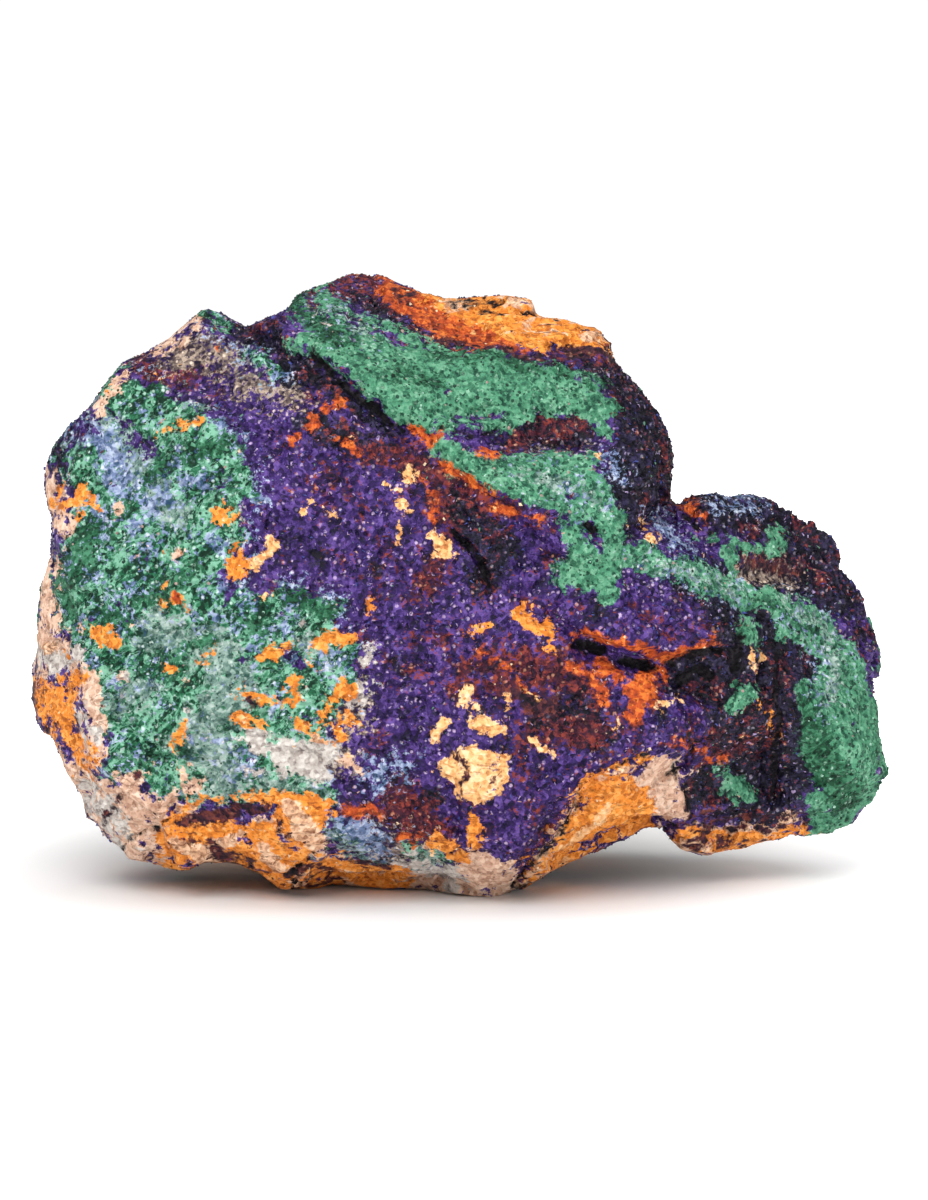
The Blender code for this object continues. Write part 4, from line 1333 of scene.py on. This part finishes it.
    def build(self) -> Object:
        """Makes the stone, writes the mineral fields as attributes and stands it upright.

        Returns:
            The stone's object, without a material.
        """
        stone = self.rough_form()
        view, normals = get_points(stone.data), get_normals(stone.data)
        set_points(stone.data, PLANE.on_floor(view + normals * self.relief(view, normals)[:, None]))
        even_faces(stone, self.fine_voxel)
        view, normals = get_points(stone.data), get_normals(stone.data)
        set_points(stone.data, view + normals * self.grain(view, normals)[:, None])
        self.thin_faces(stone)
        view, normals = get_points(stone.data), get_normals(stone.data)
        fields = self.minerals.fields(view, normals)
        worn = {f"field_{mineral.value}": values for mineral, values in fields.items()}
        # Painted shade in the dips of the relief and painted highlight on its tips
        worn["relief_shading"] = self.relief_shading(view)
        for name, values in worn.items():
            attribute = stone.data.attributes.new(name, "FLOAT", "POINT")
            attribute.data.foreach_set("value", values.astype(np.float32))
        set_points(stone.data, PLANE.upright(PLANE.on_floor(view)))
        stone.data.shade_smooth()
        return stone


class Sheet:
    """A node tree with short calls for the nodes that the finishes need."""

    def __init__(self, tree: NodeTree) -> None:
        """Works on the given tree."""
        self.tree = tree

    def add(self, kind: str, **settings: object) -> Node:
        """A new node with its own settings."""
        node = self.tree.nodes.new(kind)
        for name, value in settings.items():
            setattr(node, name, value)
        return node

    def feed(self, into: Socket, value: object) -> None:
        """Links a socket to another, or sets its value."""
        if isinstance(value, Socket):
            self.tree.links.new(value, into)
        elif isinstance(value, tuple) and len(value) == 3 and into.type == "RGBA":
            into.default_value = (*value, 1.0)
        else:
            into.default_value = value

    def made(self, kind: str, inputs: dict[int, object], output: int, **settings: object) -> Socket:
        """One output of a new node, with its inputs fed by number."""
        node = self.add(kind, **settings)
        for index, value in inputs.items():
            self.feed(node.inputs[index], value)
        return node.outputs[output]

    def wire(self, node: Node, **values: object) -> Node:
        """Feeds a node's inputs by name, with _ for a space, and gives the node back."""
        for name, value in values.items():
            self.feed(node.inputs[name.replace("_", " ")], value)
        return node

    def math(self, operation: str, a: object, b: object = 0.0, clamp: bool = False) -> Socket:
        """One sum of two values."""
        return self.made("ShaderNodeMath", {0: a, 1: b}, 0, operation=operation, use_clamp=clamp)

    def times(self, a: object, b: object) -> Socket:
        """One value times another."""
        return self.math("MULTIPLY", a, b)

    def weigh(self, *parts: tuple[object, float]) -> Socket:
        """The sum of values, each times its share."""
        total = self.times(*parts[0])
        for value, share in parts[1:]:
            total = self.math("ADD", total, self.times(value, share))
        return total

    def mix(self, share: object, a: object, b: object) -> Socket:
        """Colour a, turning into b as the share goes from 0 to 1."""
        return self.made("ShaderNodeMix", {0: share, 6: a, 7: b}, 2, data_type="RGBA")

    def blend(self, share: object, a: object, b: object) -> Socket:
        """Number a, turning into b as the share goes from 0 to 1."""
        return self.made("ShaderNodeMix", {0: share, 2: a, 3: b}, 0, data_type="FLOAT")

    def step(self, value: object, low: object, high: object) -> Socket:
        """0 below low, 1 above high and a smooth rise between them."""
        inputs = {0: value, 1: low, 2: high}
        return self.made("ShaderNodeMapRange", inputs, 0, interpolation_type="SMOOTHSTEP")

    def noise(self, vector: object, scale: object, detail: float, rough: float) -> Socket:
        """Soft noise from 0 to 1 with the given cells to a metre."""
        node = self.wire(self.add("ShaderNodeTexNoise"), Vector=vector, Scale=scale, Detail=detail,
                         Roughness=rough)
        return node.outputs["Fac"]

    def group(self, tree: NodeTree, **values: object) -> Node:
        """Places a node group and feeds its inputs."""
        return self.wire(self.add("ShaderNodeGroup", node_tree=tree), **values)


def new_group(name: str, takes: dict[str, str], gives: dict[str, str]) -> tuple[Sheet, dict, dict]:
    """An empty node group.

    Args:
        name: its name.
        takes: input names with the kind of each, Float, Vector or Color.
        gives: output names with the kind of each.

    Returns:
        A sheet of its tree, its input sockets by name and its output sockets by name.
    """
    tree = bpy.data.node_groups.new(name, "ShaderNodeTree")
    for label, kind in takes.items():
        tree.interface.new_socket(name=label, in_out="INPUT", socket_type=f"NodeSocket{kind}")
    for label, kind in gives.items():
        tree.interface.new_socket(name=label, in_out="OUTPUT", socket_type=f"NodeSocket{kind}")
    sheet = Sheet(tree)
    inside, outside = sheet.add("NodeGroupInput"), sheet.add("NodeGroupOutput")
    return sheet, {n: inside.outputs[n] for n in takes}, {n: outside.inputs[n] for n in gives}


def new_material(name: str) -> tuple[Material, Sheet, Node]:
    """A material, a sheet of its nodes and its shader."""
    material = bpy.data.materials.new(name)
    material.use_nodes = True
    return material, Sheet(material.node_tree), material.node_tree.nodes["Principled BSDF"]


@dataclass
class SharedEffects:
    """The node groups that every finish of the stone shares, built once. A pair of numbers is where
    a value starts to count and where it counts in full."""

    coarse_scale: float = 0.17
    edge_scale: float = 0.42
    cell_scale: float = 1.25
    cell_body: Span = (0.25, 0.55)
    speck_luck: Span = (0.76, 0.92)
    speck_noise: Span = (0.4, 0.54)
    pore_luck: Span = (0.74, 0.9)
    warp_scale: float = 0.42
    warp_reach: float = 0.01
    break_scale: float = 1.7
    line_break: Span = (0.44, 0.56)
    edge_swing: float = 3.6

    def __post_init__(self) -> None:
        """Builds the four groups."""
        self.grain = self.rock_grain()
        self.edge = self.ragged_mask()
        self.lines = self.streak_lines()
        self.tone = self.mineral_tone()

    def rock_grain(self) -> NodeTree:
        """Fine and coarse noise, and cells, a few of which are bright specks, painted as glints, and a few
        dark pores, painted as shade in pits.
        """
        sheet, takes, gives = new_group(
            "rock_grain", {"Vector": "Vector", "Grain": "Float"},
            {"Fine": "Float", "Coarse": "Float", "Edge": "Float", "Luck": "Float", "Cells": "Float",
             "Specks": "Float", "Pores": "Float"})
        fine = sheet.noise(takes["Vector"], takes["Grain"], 4.0, 0.68)
        scale = sheet.times(takes["Grain"], self.coarse_scale)
        coarse = sheet.noise(takes["Vector"], scale, 3.0, 0.6)
        scale = sheet.times(takes["Grain"], self.edge_scale)
        edge = sheet.noise(takes["Vector"], scale, 5.0, 0.66)
        scale = sheet.times(takes["Grain"], self.cell_scale)
        cells = sheet.wire(sheet.add("ShaderNodeTexVoronoi"), Vector=takes["Vector"], Scale=scale)
        luck = sheet.add("ShaderNodeSeparateColor")
        sheet.feed(luck.inputs[0], cells.outputs["Color"])
        inner = sheet.math("SUBTRACT", 1.0, sheet.step(cells.outputs["Distance"], *self.cell_body))
        # Bright specks are painted glints, and dark pores are pits painted as shade
        glint_specks = sheet.times(sheet.step(luck.outputs[0], *self.speck_luck), inner)
        glint_specks = sheet.times(glint_specks, sheet.step(fine, *self.speck_noise))
        shaded_pores = sheet.times(sheet.step(luck.outputs[1], *self.pore_luck), inner)
        made = (fine, coarse, edge, luck.outputs[2], cells.outputs["Distance"], glint_specks, shaded_pores)
        for socket, value in zip(gives.values(), made):
            sheet.feed(socket, value)
        return sheet.tree

    def streak_lines(self) -> NodeTree:
        """Thin wavy lines along one direction: where drawn-out, warped noise is near its middle, broken
        up by a second noise. The soft streaks between them come out as well."""
        sheet, takes, gives = new_group(
            "streak_lines", {"Vector": "Vector", "Scale": "Float", "Width": "Float"},
            {"Lines": "Float", "Streaks": "Float"})
        scale = sheet.times(takes["Scale"], self.warp_scale)
        warp = sheet.wire(sheet.add("ShaderNodeTexNoise"), Vector=takes["Vector"], Scale=scale)
        inputs = {0: warp.outputs["Color"], 1: (self.warp_reach,) * 3, 2: takes["Vector"]}
        shifted = sheet.made("ShaderNodeVectorMath", inputs, 0, operation="MULTIPLY_ADD")
        streaks = sheet.noise(shifted, takes["Scale"], 5.0, 0.62)
        middle = sheet.math("ABSOLUTE", sheet.math("SUBTRACT", streaks, 0.5))
        line = sheet.math("SUBTRACT", 1.0, sheet.step(middle, 0.0, takes["Width"]))
        scale = sheet.times(takes["Scale"], self.break_scale)
        broken = sheet.noise(shifted, scale, 2.0, 0.5)
        sheet.feed(gives["Lines"], sheet.times(line, sheet.step(broken, *self.line_break)))
        sheet.feed(gives["Streaks"], streaks)
        return sheet.tree

    def ragged_mask(self) -> NodeTree:
        """Turns a mineral's field into a mask whose edge wanders with noise."""
        sheet, takes, gives = new_group(
            "ragged_mask", {"Field": "Float", "Noise": "Float", "Reach": "Float", "Softness": "Float"},
            {"Mask": "Float"})
        wide = sheet.times(takes["Reach"], self.edge_swing)
        sway = sheet.times(sheet.math("SUBTRACT", takes["Noise"], 0.5), wide)
        edge = sheet.math("ADD", takes["Field"], sway)
        low = sheet.times(takes["Softness"], -1.0)
        sheet.feed(gives["Mask"], sheet.step(edge, low, takes["Softness"]))
        return sheet.tree

    def mineral_tone(self) -> NodeTree:
        """Mixes a mineral's three tones by noise, then lays its pale specks, which are painted glints, its
        veins, its dark pores, which are painted shade in pits, and its cracks over them."""
        sheet, takes, gives = new_group(
            "mineral_tone",
            {"Noise": "Float", "Specks": "Float", "Pores": "Float", "Contrast": "Float",
             "Veins": "Float", "Cracks": "Float", "Deep": "Color", "Main": "Color", "Pale": "Color",
             "Fleck": "Color"},
            {"Color": "Color"})
        swing = sheet.times(sheet.math("SUBTRACT", takes["Noise"], 0.5), takes["Contrast"])
        tone = sheet.math("ADD", swing, 0.5, clamp=True)
        lower = sheet.mix(sheet.math("MULTIPLY", tone, 2.0, clamp=True), takes["Deep"], takes["Main"])
        rest = sheet.math("SUBTRACT", sheet.times(tone, 2.0), 1.0, clamp=True)
        body = sheet.mix(rest, lower, takes["Pale"])
        dark = sheet.math("MAXIMUM", takes["Pores"], takes["Cracks"])
        lined = sheet.mix(dark, sheet.mix(takes["Veins"], body, takes["Pale"]), takes["Deep"])
        sheet.feed(gives["Color"], sheet.mix(takes["Specks"], lined, takes["Fleck"]))
        return sheet.tree


@dataclass
class StoneFinish:
    """The stone's own material: every mineral's tones, laid over each other by their fields."""

    effects: SharedEffects
    name: str = "azurite_malachite"
    grain: float = 1250.0
    streak_turn: float = -math.radians(40.0)
    streak_stretch: float = 2.6
    streak_grain: float = 560.0
    crack_stretch: float = 3.2
    crack_grain: float = 330.0
    tone_shares: Place = (0.55, 0.2, 0.25)
    streaky_shares: Place = (0.6, 0.2, 0.2)
    fringe_shares: Span = (0.6, 0.4)
    bump_shares: tuple[float, float, float, float] = (1.0, 0.7, -0.9, -0.8)
    vein_width: float = 0.03
    crack_width: float = 0.016
    contrast: float = 2.6
    gloss_swing: float = 0.35
    # How much the relief paints shade into its dips and highlight onto its tips
    relief_shading: float = 0.09
    bump_strength: float = 0.75
    bump_depth: float = 0.0003
    gleam: float = 0.16
    streaky: tuple[Mineral, ...] = (EMERALD, VERDIGRIS, MOSS, BLOOM)
    hazy: tuple[Mineral, ...] = (
        NIGHT, STAIN, MATRIX, VERDIGRIS, MOSS, BLOOM)

    def build(self) -> Material:
        """The minerals laid over each other in their order, with the bump of the grain."""
        material, sheet, surface = new_material(self.name)
        place = sheet.add("ShaderNodeTexCoord").outputs["Object"]
        grain = sheet.group(self.effects.grain, Vector=place, Grain=self.grain)
        fine, coarse, edge = (grain.outputs[name] for name in ("Fine", "Coarse", "Edge"))
        # Painted shade and highlight: the tones are darker in the dips of the relief and paler on its tips
        raised = sheet.add("ShaderNodeAttribute", attribute_name="relief_shading").outputs["Fac"]
        lift = (raised, self.relief_shading)
        luck = grain.outputs["Luck"]
        both = sheet.weigh(*zip((fine, coarse, luck), self.tone_shares), lift)
        veins = self.lines(sheet, place, self.streak_turn, self.streak_stretch, self.streak_grain,
                           self.vein_width)
        cracks = self.lines(sheet, place, 0.0, self.crack_stretch, self.crack_grain, self.crack_width)
        streaked = sheet.weigh(*zip((veins.outputs["Streaks"], fine, luck), self.streaky_shares), lift)
        fringe = sheet.weigh(*zip((fine, edge), self.fringe_shares))
        colour, rough = None, None
        for mineral in Mineral:
            finish = FINISHES[mineral]
            noise = streaked if mineral in self.streaky else both
            # Specks are painted glints and pores are pits painted as shade
            tone = sheet.group(
                self.effects.tone, Noise=noise, Contrast=finish.contrast * self.contrast,
                Specks=sheet.times(grain.outputs["Specks"], finish.glint_specks),
                Pores=sheet.times(grain.outputs["Pores"], finish.shaded_pores),
                Veins=sheet.times(veins.outputs["Lines"], finish.veins),
                Cracks=sheet.times(cracks.outputs["Lines"], finish.cracks),
                Deep=finish.deep, Main=finish.main, Pale=finish.pale, Fleck=finish.glint_colour)
            if mineral is AZURITE:
                colour, rough = tone.outputs["Color"], finish.roughness
                continue
            read = sheet.add("ShaderNodeAttribute", attribute_name=f"field_{mineral.value}")
            mask = sheet.group(self.effects.edge, Field=read.outputs["Fac"],
                               Noise=fringe if mineral in self.hazy else edge,
                               Reach=finish.reach, Softness=finish.soft).outputs["Mask"]
            colour = sheet.mix(mask, colour, tone.outputs["Color"])
            rough = sheet.blend(mask, rough, finish.roughness)
        gloss = sheet.times(sheet.math("SUBTRACT", fine, 0.5), self.gloss_swing)
        sheet.wire(surface, Base_Color=colour, Roughness=sheet.math("ADD", rough, gloss, clamp=True))
        raised = (fine, grain.outputs["Cells"], grain.outputs["Pores"], cracks.outputs["Lines"])
        height = sheet.weigh(*zip(raised, self.bump_shares))
        bump = sheet.wire(sheet.add("ShaderNodeBump"), Strength=self.bump_strength,
                          Distance=self.bump_depth, Height=height)
        sheet.wire(surface, Normal=bump.outputs[0], Specular_IOR_Level=self.gleam)
        return material

    def lines(self, sheet: Sheet, place: Socket, turn: float, stretch: float,
              scale: float, width: float) -> Node:
        """The shared streak lines, turned in radians about the axis that points away, drawn out, with
        so many cells to a metre and as wide as a share of the noise's swing."""
        turned = sheet.wire(sheet.add("ShaderNodeMapping", vector_type="TEXTURE"), Vector=place,
                            Rotation=(0.0, turn, 0.0), Scale=(stretch, 1.0, 1.0))
        return sheet.group(self.effects.lines, Vector=turned.outputs[0], Scale=scale, Width=width)


@dataclass
class GrainFinish:
    """The material of a piece of small grains, each with its own tint."""

    effects: SharedEffects
    name: str
    roughness: float
    grain: float = 2600.0
    shade: float = 0.55
    shade_edge: Span = (0.3, 0.62)
    gloss_swing: float = 0.3
    gleam: float = 0.22

    def build(self) -> Material:
        """The tint of each grain, darkened and lightened by the shared rock grain."""
        material, sheet, surface = new_material(self.name)
        place = sheet.add("ShaderNodeTexCoord").outputs["Object"]
        grain = sheet.group(self.effects.grain, Vector=place, Grain=self.grain)
        tint = sheet.add("ShaderNodeAttribute", attribute_name="tint").outputs["Color"]
        shade = sheet.step(grain.outputs["Fine"], *self.shade_edge)
        dark = sheet.mix(self.shade, tint, (0.0, 0.0, 0.0))
        gloss = sheet.times(grain.outputs["Fine"], self.gloss_swing)
        least = self.roughness - self.gloss_swing / 2.0
        sheet.wire(surface, Base_Color=sheet.mix(shade, dark, tint), Specular_IOR_Level=self.gleam,
                   Roughness=sheet.math("ADD", gloss, least, clamp=True))
        return material


class GrainShape(Enum):
    """The forms of small grain that grow out of the stone."""

    CRYSTAL = "crystal"
    GRANULE = "granule"
    CRUMB = "crumb"


def crystal_shape() -> tuple[Array, Array]:
    """A blade with a slanting roof: a flat box whose top is drawn in to an off-centre ridge."""
    points = np.array([
        [-0.5, -0.28, -0.6], [0.5, -0.28, -0.6], [0.5, 0.28, -0.6], [-0.5, 0.28, -0.6],
        [-0.38, -0.05, 0.75], [0.3, -0.05, 1.0],
    ])
    faces = np.array([[0, 1, 5], [0, 5, 4], [1, 2, 5], [2, 3, 4], [2, 4, 5], [3, 0, 4], [0, 3, 2], [0, 2, 1]])
    return points, faces


def granule_shape() -> tuple[Array, Array]:
    """A round granule: the twenty-sided ball, from golden rectangles."""
    g = (1.0 + math.sqrt(5.0)) / 2.0
    points = np.array([
        [-1, g, 0], [1, g, 0], [-1, -g, 0], [1, -g, 0], [0, -1, g], [0, 1, g],
        [0, -1, -g], [0, 1, -g], [g, 0, -1], [g, 0, 1], [-g, 0, -1], [-g, 0, 1],
    ]) / math.hypot(1.0, g)
    faces = np.array([
        [0, 11, 5], [0, 5, 1], [0, 1, 7], [0, 7, 10], [0, 10, 11], [1, 5, 9], [5, 11, 4], [11, 10, 2],
        [10, 7, 6], [7, 1, 8], [3, 9, 4], [3, 4, 2], [3, 2, 6], [3, 6, 8], [3, 8, 9], [4, 9, 5],
        [2, 4, 11], [6, 2, 10], [8, 6, 7], [9, 8, 1],
    ])
    return points, faces


def crumb_shape() -> tuple[Array, Array]:
    """A broken crumb: a slab whose corners are cut unevenly."""
    points = np.array([
        [-0.5, -0.4, -0.5], [0.45, -0.5, -0.5], [0.5, 0.4, -0.5], [-0.4, 0.5, -0.5],
        [-0.32, -0.26, 0.42], [0.36, -0.2, 0.5], [0.2, 0.34, 0.36], [-0.36, 0.22, 0.5],
    ])
    faces = np.array([
        [0, 3, 2], [0, 2, 1], [4, 5, 6], [4, 6, 7], [0, 1, 5], [0, 5, 4],
        [1, 2, 6], [1, 6, 5], [2, 3, 7], [2, 7, 6], [3, 0, 4], [3, 4, 7],
    ])
    return points, faces


SHAPES = {
    GrainShape.CRYSTAL: crystal_shape,
    GrainShape.GRANULE: granule_shape,
    GrainShape.CRUMB: crumb_shape,
}


@dataclass
class GrainPiece:
    """Thousands of small grains that grow out of the stone where given minerals show."""

    name: str
    shape: GrainShape
    hosts: dict[Mineral, float]
    count: int
    size: Span
    flatness: float
    lean: float
    seed: int
    flecks: tuple[tuple[Colour, float], ...] = ()
    sink: float = 0.35
    floor_gap: float = 0.0008
    smooth: bool = False
    tone: Span = (0.42, 0.22)
    size_power: float = 2.2
    widths: Span = (0.7, 1.15)
    heights: Span = (0.6, 1.4)

    def pick_faces(self, stone: Object, rng: np.random.Generator) -> tuple[Array, ...]:
        """Picks faces of the stone by their area times how much of the host minerals they show.

        Args:
            stone: the finished stone.
            rng: the piece's own random numbers.

        Returns:
            Places, normals and, for each grain, the index of its host in `hosts`.
        """
        mesh = stone.data
        mesh.calc_loop_triangles()
        corners = np.empty(len(mesh.loop_triangles) * 3, dtype=np.int32)
        mesh.loop_triangles.foreach_get("vertices", corners)
        corners = corners.reshape(-1, 3)
        points = get_points(mesh)
        a, b, c = (points[corners[:, k]] for k in range(3))
        cross = np.cross(b - a, c - a)
        area = np.linalg.norm(cross, axis=1) / 2.0
        fields = {}
        for mineral in STROKES:
            values = np.empty(len(mesh.vertices), dtype=np.float32)
            mesh.attributes[f"field_{mineral.value}"].data.foreach_get("value", values)
            fields[mineral] = values[corners].mean(axis=1).astype(float)
        shares = MineralMap.cover(fields)
        weights = np.stack([shares[m] * w for m, w in self.hosts.items()])
        total = weights.sum(axis=0) * area * (points[corners].min(axis=1)[:, 2] > self.floor_gap)
        chosen = rng.choice(len(corners), size=self.count, p=total / total.sum())
        share = rng.random((self.count, 2))
        flip = share.sum(axis=1) > 1.0
        share[flip] = 1.0 - share[flip]
        place = a[chosen] + share[:, :1] * (b - a)[chosen] + share[:, 1:] * (c - a)[chosen]
        ladder = np.cumsum(weights[:, chosen], axis=0)
        host = (rng.random(self.count) * ladder[-1] > ladder).sum(axis=0)
        return place, unit(cross[chosen]), np.minimum(host, len(self.hosts) - 1)

    def tints(self, host: Array, rng: np.random.Generator) -> Array:
        """A colour for each grain between its host's tones, with a few flecks of other colours, of which the
        crystals' pale lavender ones are painted glints.

        Args:
            host: the index of each grain's host.
            rng: the piece's own random numbers.

        Returns:
            One colour a row.
        """
        tones = np.array([(FINISHES[m].deep, FINISHES[m].main, FINISHES[m].pale) for m in self.hosts])
        value = np.clip(rng.normal(*self.tone, self.count), 0.0, 1.0)[:, None] * 2.0
        deep, main, pale = (tones[host, k] for k in range(3))
        tint = np.where(value < 1.0, deep + (main - deep) * value, main + (pale - main) * (value - 1.0))
        luck = rng.random(self.count)
        for colour, share in self.flecks:
            tint[luck < share] = colour
            luck = np.where(luck < share, 2.0, luck - share)
        return tint

    def build(self, stone: Object, material: Material) -> Object:
        """Places every grain: its shape, times its size, turned about its normal, leaned by a random
        tilt and sunk a little, all as whole arrays.

        Args:
            stone: the finished stone.
            material: the finish of the grains.

        Returns:
            One object of joined grains, with a tint for each point.
        """
        rng = np.random.default_rng(self.seed)
        place, normal, host = self.pick_faces(stone, rng)
        points, faces = SHAPES[self.shape]()
        up = unit(normal + self.lean * rng.normal(0.0, 1.0, normal.shape))
        side = unit(np.cross(up, rng.normal(0.0, 1.0, normal.shape)))
        third = np.cross(up, side)
        low, high = self.size
        size = low + (high - low) * rng.random(self.count) ** self.size_power
        wide = size * rng.uniform(*self.widths, self.count)
        tall = size * self.flatness * rng.uniform(*self.heights, self.count)
        local = points[None, :, :] * np.stack([size, wide, tall], axis=1)[:, None, :]
        world = (local[..., :1] * side[:, None, :] + local[..., 1:2] * third[:, None, :]
                 + local[..., 2:] * up[:, None, :])
        world += (place - normal * (self.sink * tall)[:, None])[:, None, :]
        keep = world[..., 2].min(axis=1) > 0.0
        world, tint = world[keep], self.tints(host, rng)[keep]
        index = faces[None] + (np.arange(len(world)) * len(points))[:, None, None]
        piece = mesh_object(self.name, world.reshape(-1, 3), index.reshape(-1, 3))
        shade = piece.data.attributes.new("tint", "FLOAT_COLOR", "POINT")
        rgba = np.ones((len(world), len(points), 4), dtype=np.float32)
        rgba[..., :3] = tint[:, None, :]
        shade.data.foreach_set("color", rgba.ravel())
        if self.smooth:
            piece.data.shade_smooth()
        piece.data.materials.append(material)
        return piece


@dataclass(frozen=True)
class Softbox:
    """A square area light: where it stands, its side and its power."""

    name: str
    place: Place
    size: float
    power: float

    def build(self, aim: Place) -> None:
        """Makes the light, turned to its aim."""
        data = bpy.data.lights.new(self.name, "AREA")
        data.size = self.size
        data.energy = self.power
        light = bpy.data.objects.new(self.name, data)
        light.location = self.place
        light.rotation_euler = (Vector(aim) - Vector(self.place)).to_track_quat("-Z", "Y").to_euler()
        bpy.context.scene.collection.objects.link(light)


@dataclass
class Studio:
    """A plain pale floor, soft light from the upper left and a camera at the photograph's angle."""

    floor_size: float = 1.3
    floor_colour: Colour = (0.9, 0.9, 0.9)
    floor_roughness: float = 0.9
    floor_gleam: float = 0.1
    # Painted light: the floor glows round the stone and pales its cast shadow
    glow: Colour = (0.85, 0.85, 0.85)
    glow_middle: Place = (-0.018, 0.0, 0.0)
    glow_reach: Span = (0.032, 0.118)
    world_light: float = 0.28
    world_seen: float = 1.05
    sensor: float = 36.0
    clip: Span = (0.01, 50.0)
    aim: Place = (0.0, 0.0, 0.04)
    softboxes: tuple[Softbox, ...] = (
        Softbox("key_light", (-0.2, -0.68, 0.66), 0.55, 7.2),
        Softbox("top_light", (0.02, -0.02, 0.95), 1.00, 6.0),
        Softbox("fill_light", (0.62, -0.72, 0.16), 0.6, 2.6),
    )

    def floor(self) -> Object:
        """A pale plane under the stone, which glows a little away from the stone so that it meets the white
        behind it."""
        half = self.floor_size / 2.0
        corners = np.array([[-half, -half, 0.0], [half, -half, 0.0], [half, half, 0.0], [-half, half, 0.0]])
        plane = mesh_object("floor", corners, np.array([[0, 1, 2, 3]]))
        material, sheet, surface = new_material("pale_floor")
        sheet.wire(surface, Base_Color=self.floor_colour, Roughness=self.floor_roughness,
                   Specular_IOR_Level=self.floor_gleam, Emission_Strength=1.0)
        away = sheet.add("ShaderNodeVectorMath", operation="DISTANCE")
        sheet.feed(away.inputs[0], sheet.add("ShaderNodeTexCoord").outputs["Object"])
        away.inputs[1].default_value = self.glow_middle
        # Painted light: the floor glows from nothing at the stone's foot to full strength further out, which
        # pales the stone's cast shadow away from its foot, most of all on the right
        far = sheet.step(away.outputs["Value"], *self.glow_reach)
        sheet.feed(surface.inputs["Emission Color"], sheet.mix(far, (0.0, 0.0, 0.0), self.glow))
        plane.data.materials.append(material)
        return plane

    def sky(self) -> None:
        """White behind everything, and a dimmer white that lights the stone."""
        world = bpy.data.worlds.new("studio")
        world.use_nodes = True
        sheet = Sheet(world.node_tree)
        glow = world.node_tree.nodes["Background"]
        glow.inputs["Color"].default_value = (1.0, 1.0, 1.0, 1.0)
        seen = sheet.add("ShaderNodeLightPath").outputs["Is Camera Ray"]
        sheet.feed(glow.inputs["Strength"], sheet.blend(seen, self.world_light, self.world_seen))
        bpy.context.scene.world = world

    def camera(self) -> None:
        """Looks at the plane's centre from its distance and elevation, framed as the photograph."""
        data = bpy.data.cameras.new("camera")
        tall = PLANE.frame_px[1] * PLANE.metres_per_px
        data.sensor_width = self.sensor
        data.lens = self.sensor * PLANE.distance / tall
        data.clip_start, data.clip_end = self.clip
        camera = bpy.data.objects.new("camera", data)
        back = Vector((0.0, -math.cos(PLANE.elevation), math.sin(PLANE.elevation)))
        camera.location = Vector(PLANE.origin) + back * PLANE.distance
        camera.rotation_euler = (-back).to_track_quat("-Z", "Y").to_euler()
        bpy.context.scene.collection.objects.link(camera)
        bpy.context.scene.camera = camera

    def build(self) -> None:
        """Sets the floor, the sky, the softboxes, the camera and the plain view of colours."""
        self.floor()
        self.sky()
        for softbox in self.softboxes:
            softbox.build(self.aim)
        self.camera()
        view = bpy.context.scene.view_settings
        view.view_transform = "Standard"
        view.look = "None"


# Flecks that are sown among the crystals: a colour and its share. The pale lavender flecks are painted glints
# on the crystals
PALE_FLECKS = (
    ((0.42, 0.31, 0.54), 0.036), ((0.58, 0.34, 0.26), 0.016), ((0.16, 0.03, 0.03), 0.06),
    ((0.14, 0.32, 0.22), 0.006), ((0.06, 0.08, 0.32), 0.06),
)
GREEN_FLECKS = (((0.32, 0.54, 0.42), 0.04), ((0.012, 0.045, 0.03), 0.14), ((0.4, 0.28, 0.25), 0.015))
ORANGE_FLECKS = (((0.06, 0.02, 0.02), 0.03), ((0.9, 0.66, 0.42), 0.08))


def grain_pieces(share: float) -> list[tuple[GrainPiece, float]]:
    """The pieces of small grains, each with its roughness.

    Args:
        share: how many of the grains are made, 1 for all.

    Returns:
        Pieces in the order in which they are built.
    """
    crystals = GrainPiece(
        "azurite_crystals", GrainShape.CRYSTAL,
        {AZURITE: 1.0, NIGHT: 0.9, STAIN: 0.7, BLOOM: 0.35},
        int(24000 * share), (0.00028, 0.00072), 0.55, 0.24, 7, PALE_FLECKS)
    granules = GrainPiece(
        "malachite_granules", GrainShape.GRANULE,
        {MALACHITE: 1.0, EMERALD: 0.55, MOSS: 0.8, VERDIGRIS: 0.4},
        int(8500 * share), (0.00016, 0.00036), 0.8, 0.3, 17, GREEN_FLECKS, smooth=True)
    crumbs = GrainPiece(
        "limonite_crumbs", GrainShape.CRUMB,
        {LIMONITE: 1.0, EMBER: 0.9, CLAY: 0.35, STAIN: 0.5},
        int(6000 * share), (0.00025, 0.0008), 0.45, 0.25, 27, ORANGE_FLECKS)
    return [(crystals, 0.36), (granules, 0.55), (crumbs, 0.72)]


def settle(piece: Object) -> None:
    """Makes a finished piece ride on the stone's body, and reports it."""
    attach(piece, BODY)
    log.info("%s: %d triangles", piece.name, count_triangles(piece))


def main() -> None:
    logging.basicConfig(level=logging.INFO, format="%(message)s")
    Studio().build()
    effects = SharedEffects()
    outline = Outline(OUTLINE)
    form = StoneForm(outline, MineralMap(STROKES, outline))
    stone = form.build()
    stone.data.materials.clear()
    stone.data.materials.append(StoneFinish(effects).build())
    settle(stone)
    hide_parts(STONE_NODE)
    for piece, roughness in grain_pieces(1.0):
        finish = GrainFinish(effects, f"{piece.name}_finish", roughness)
        settle(piece.build(stone, finish.build()))
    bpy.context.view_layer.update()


if __name__ == "__main__":
    main()
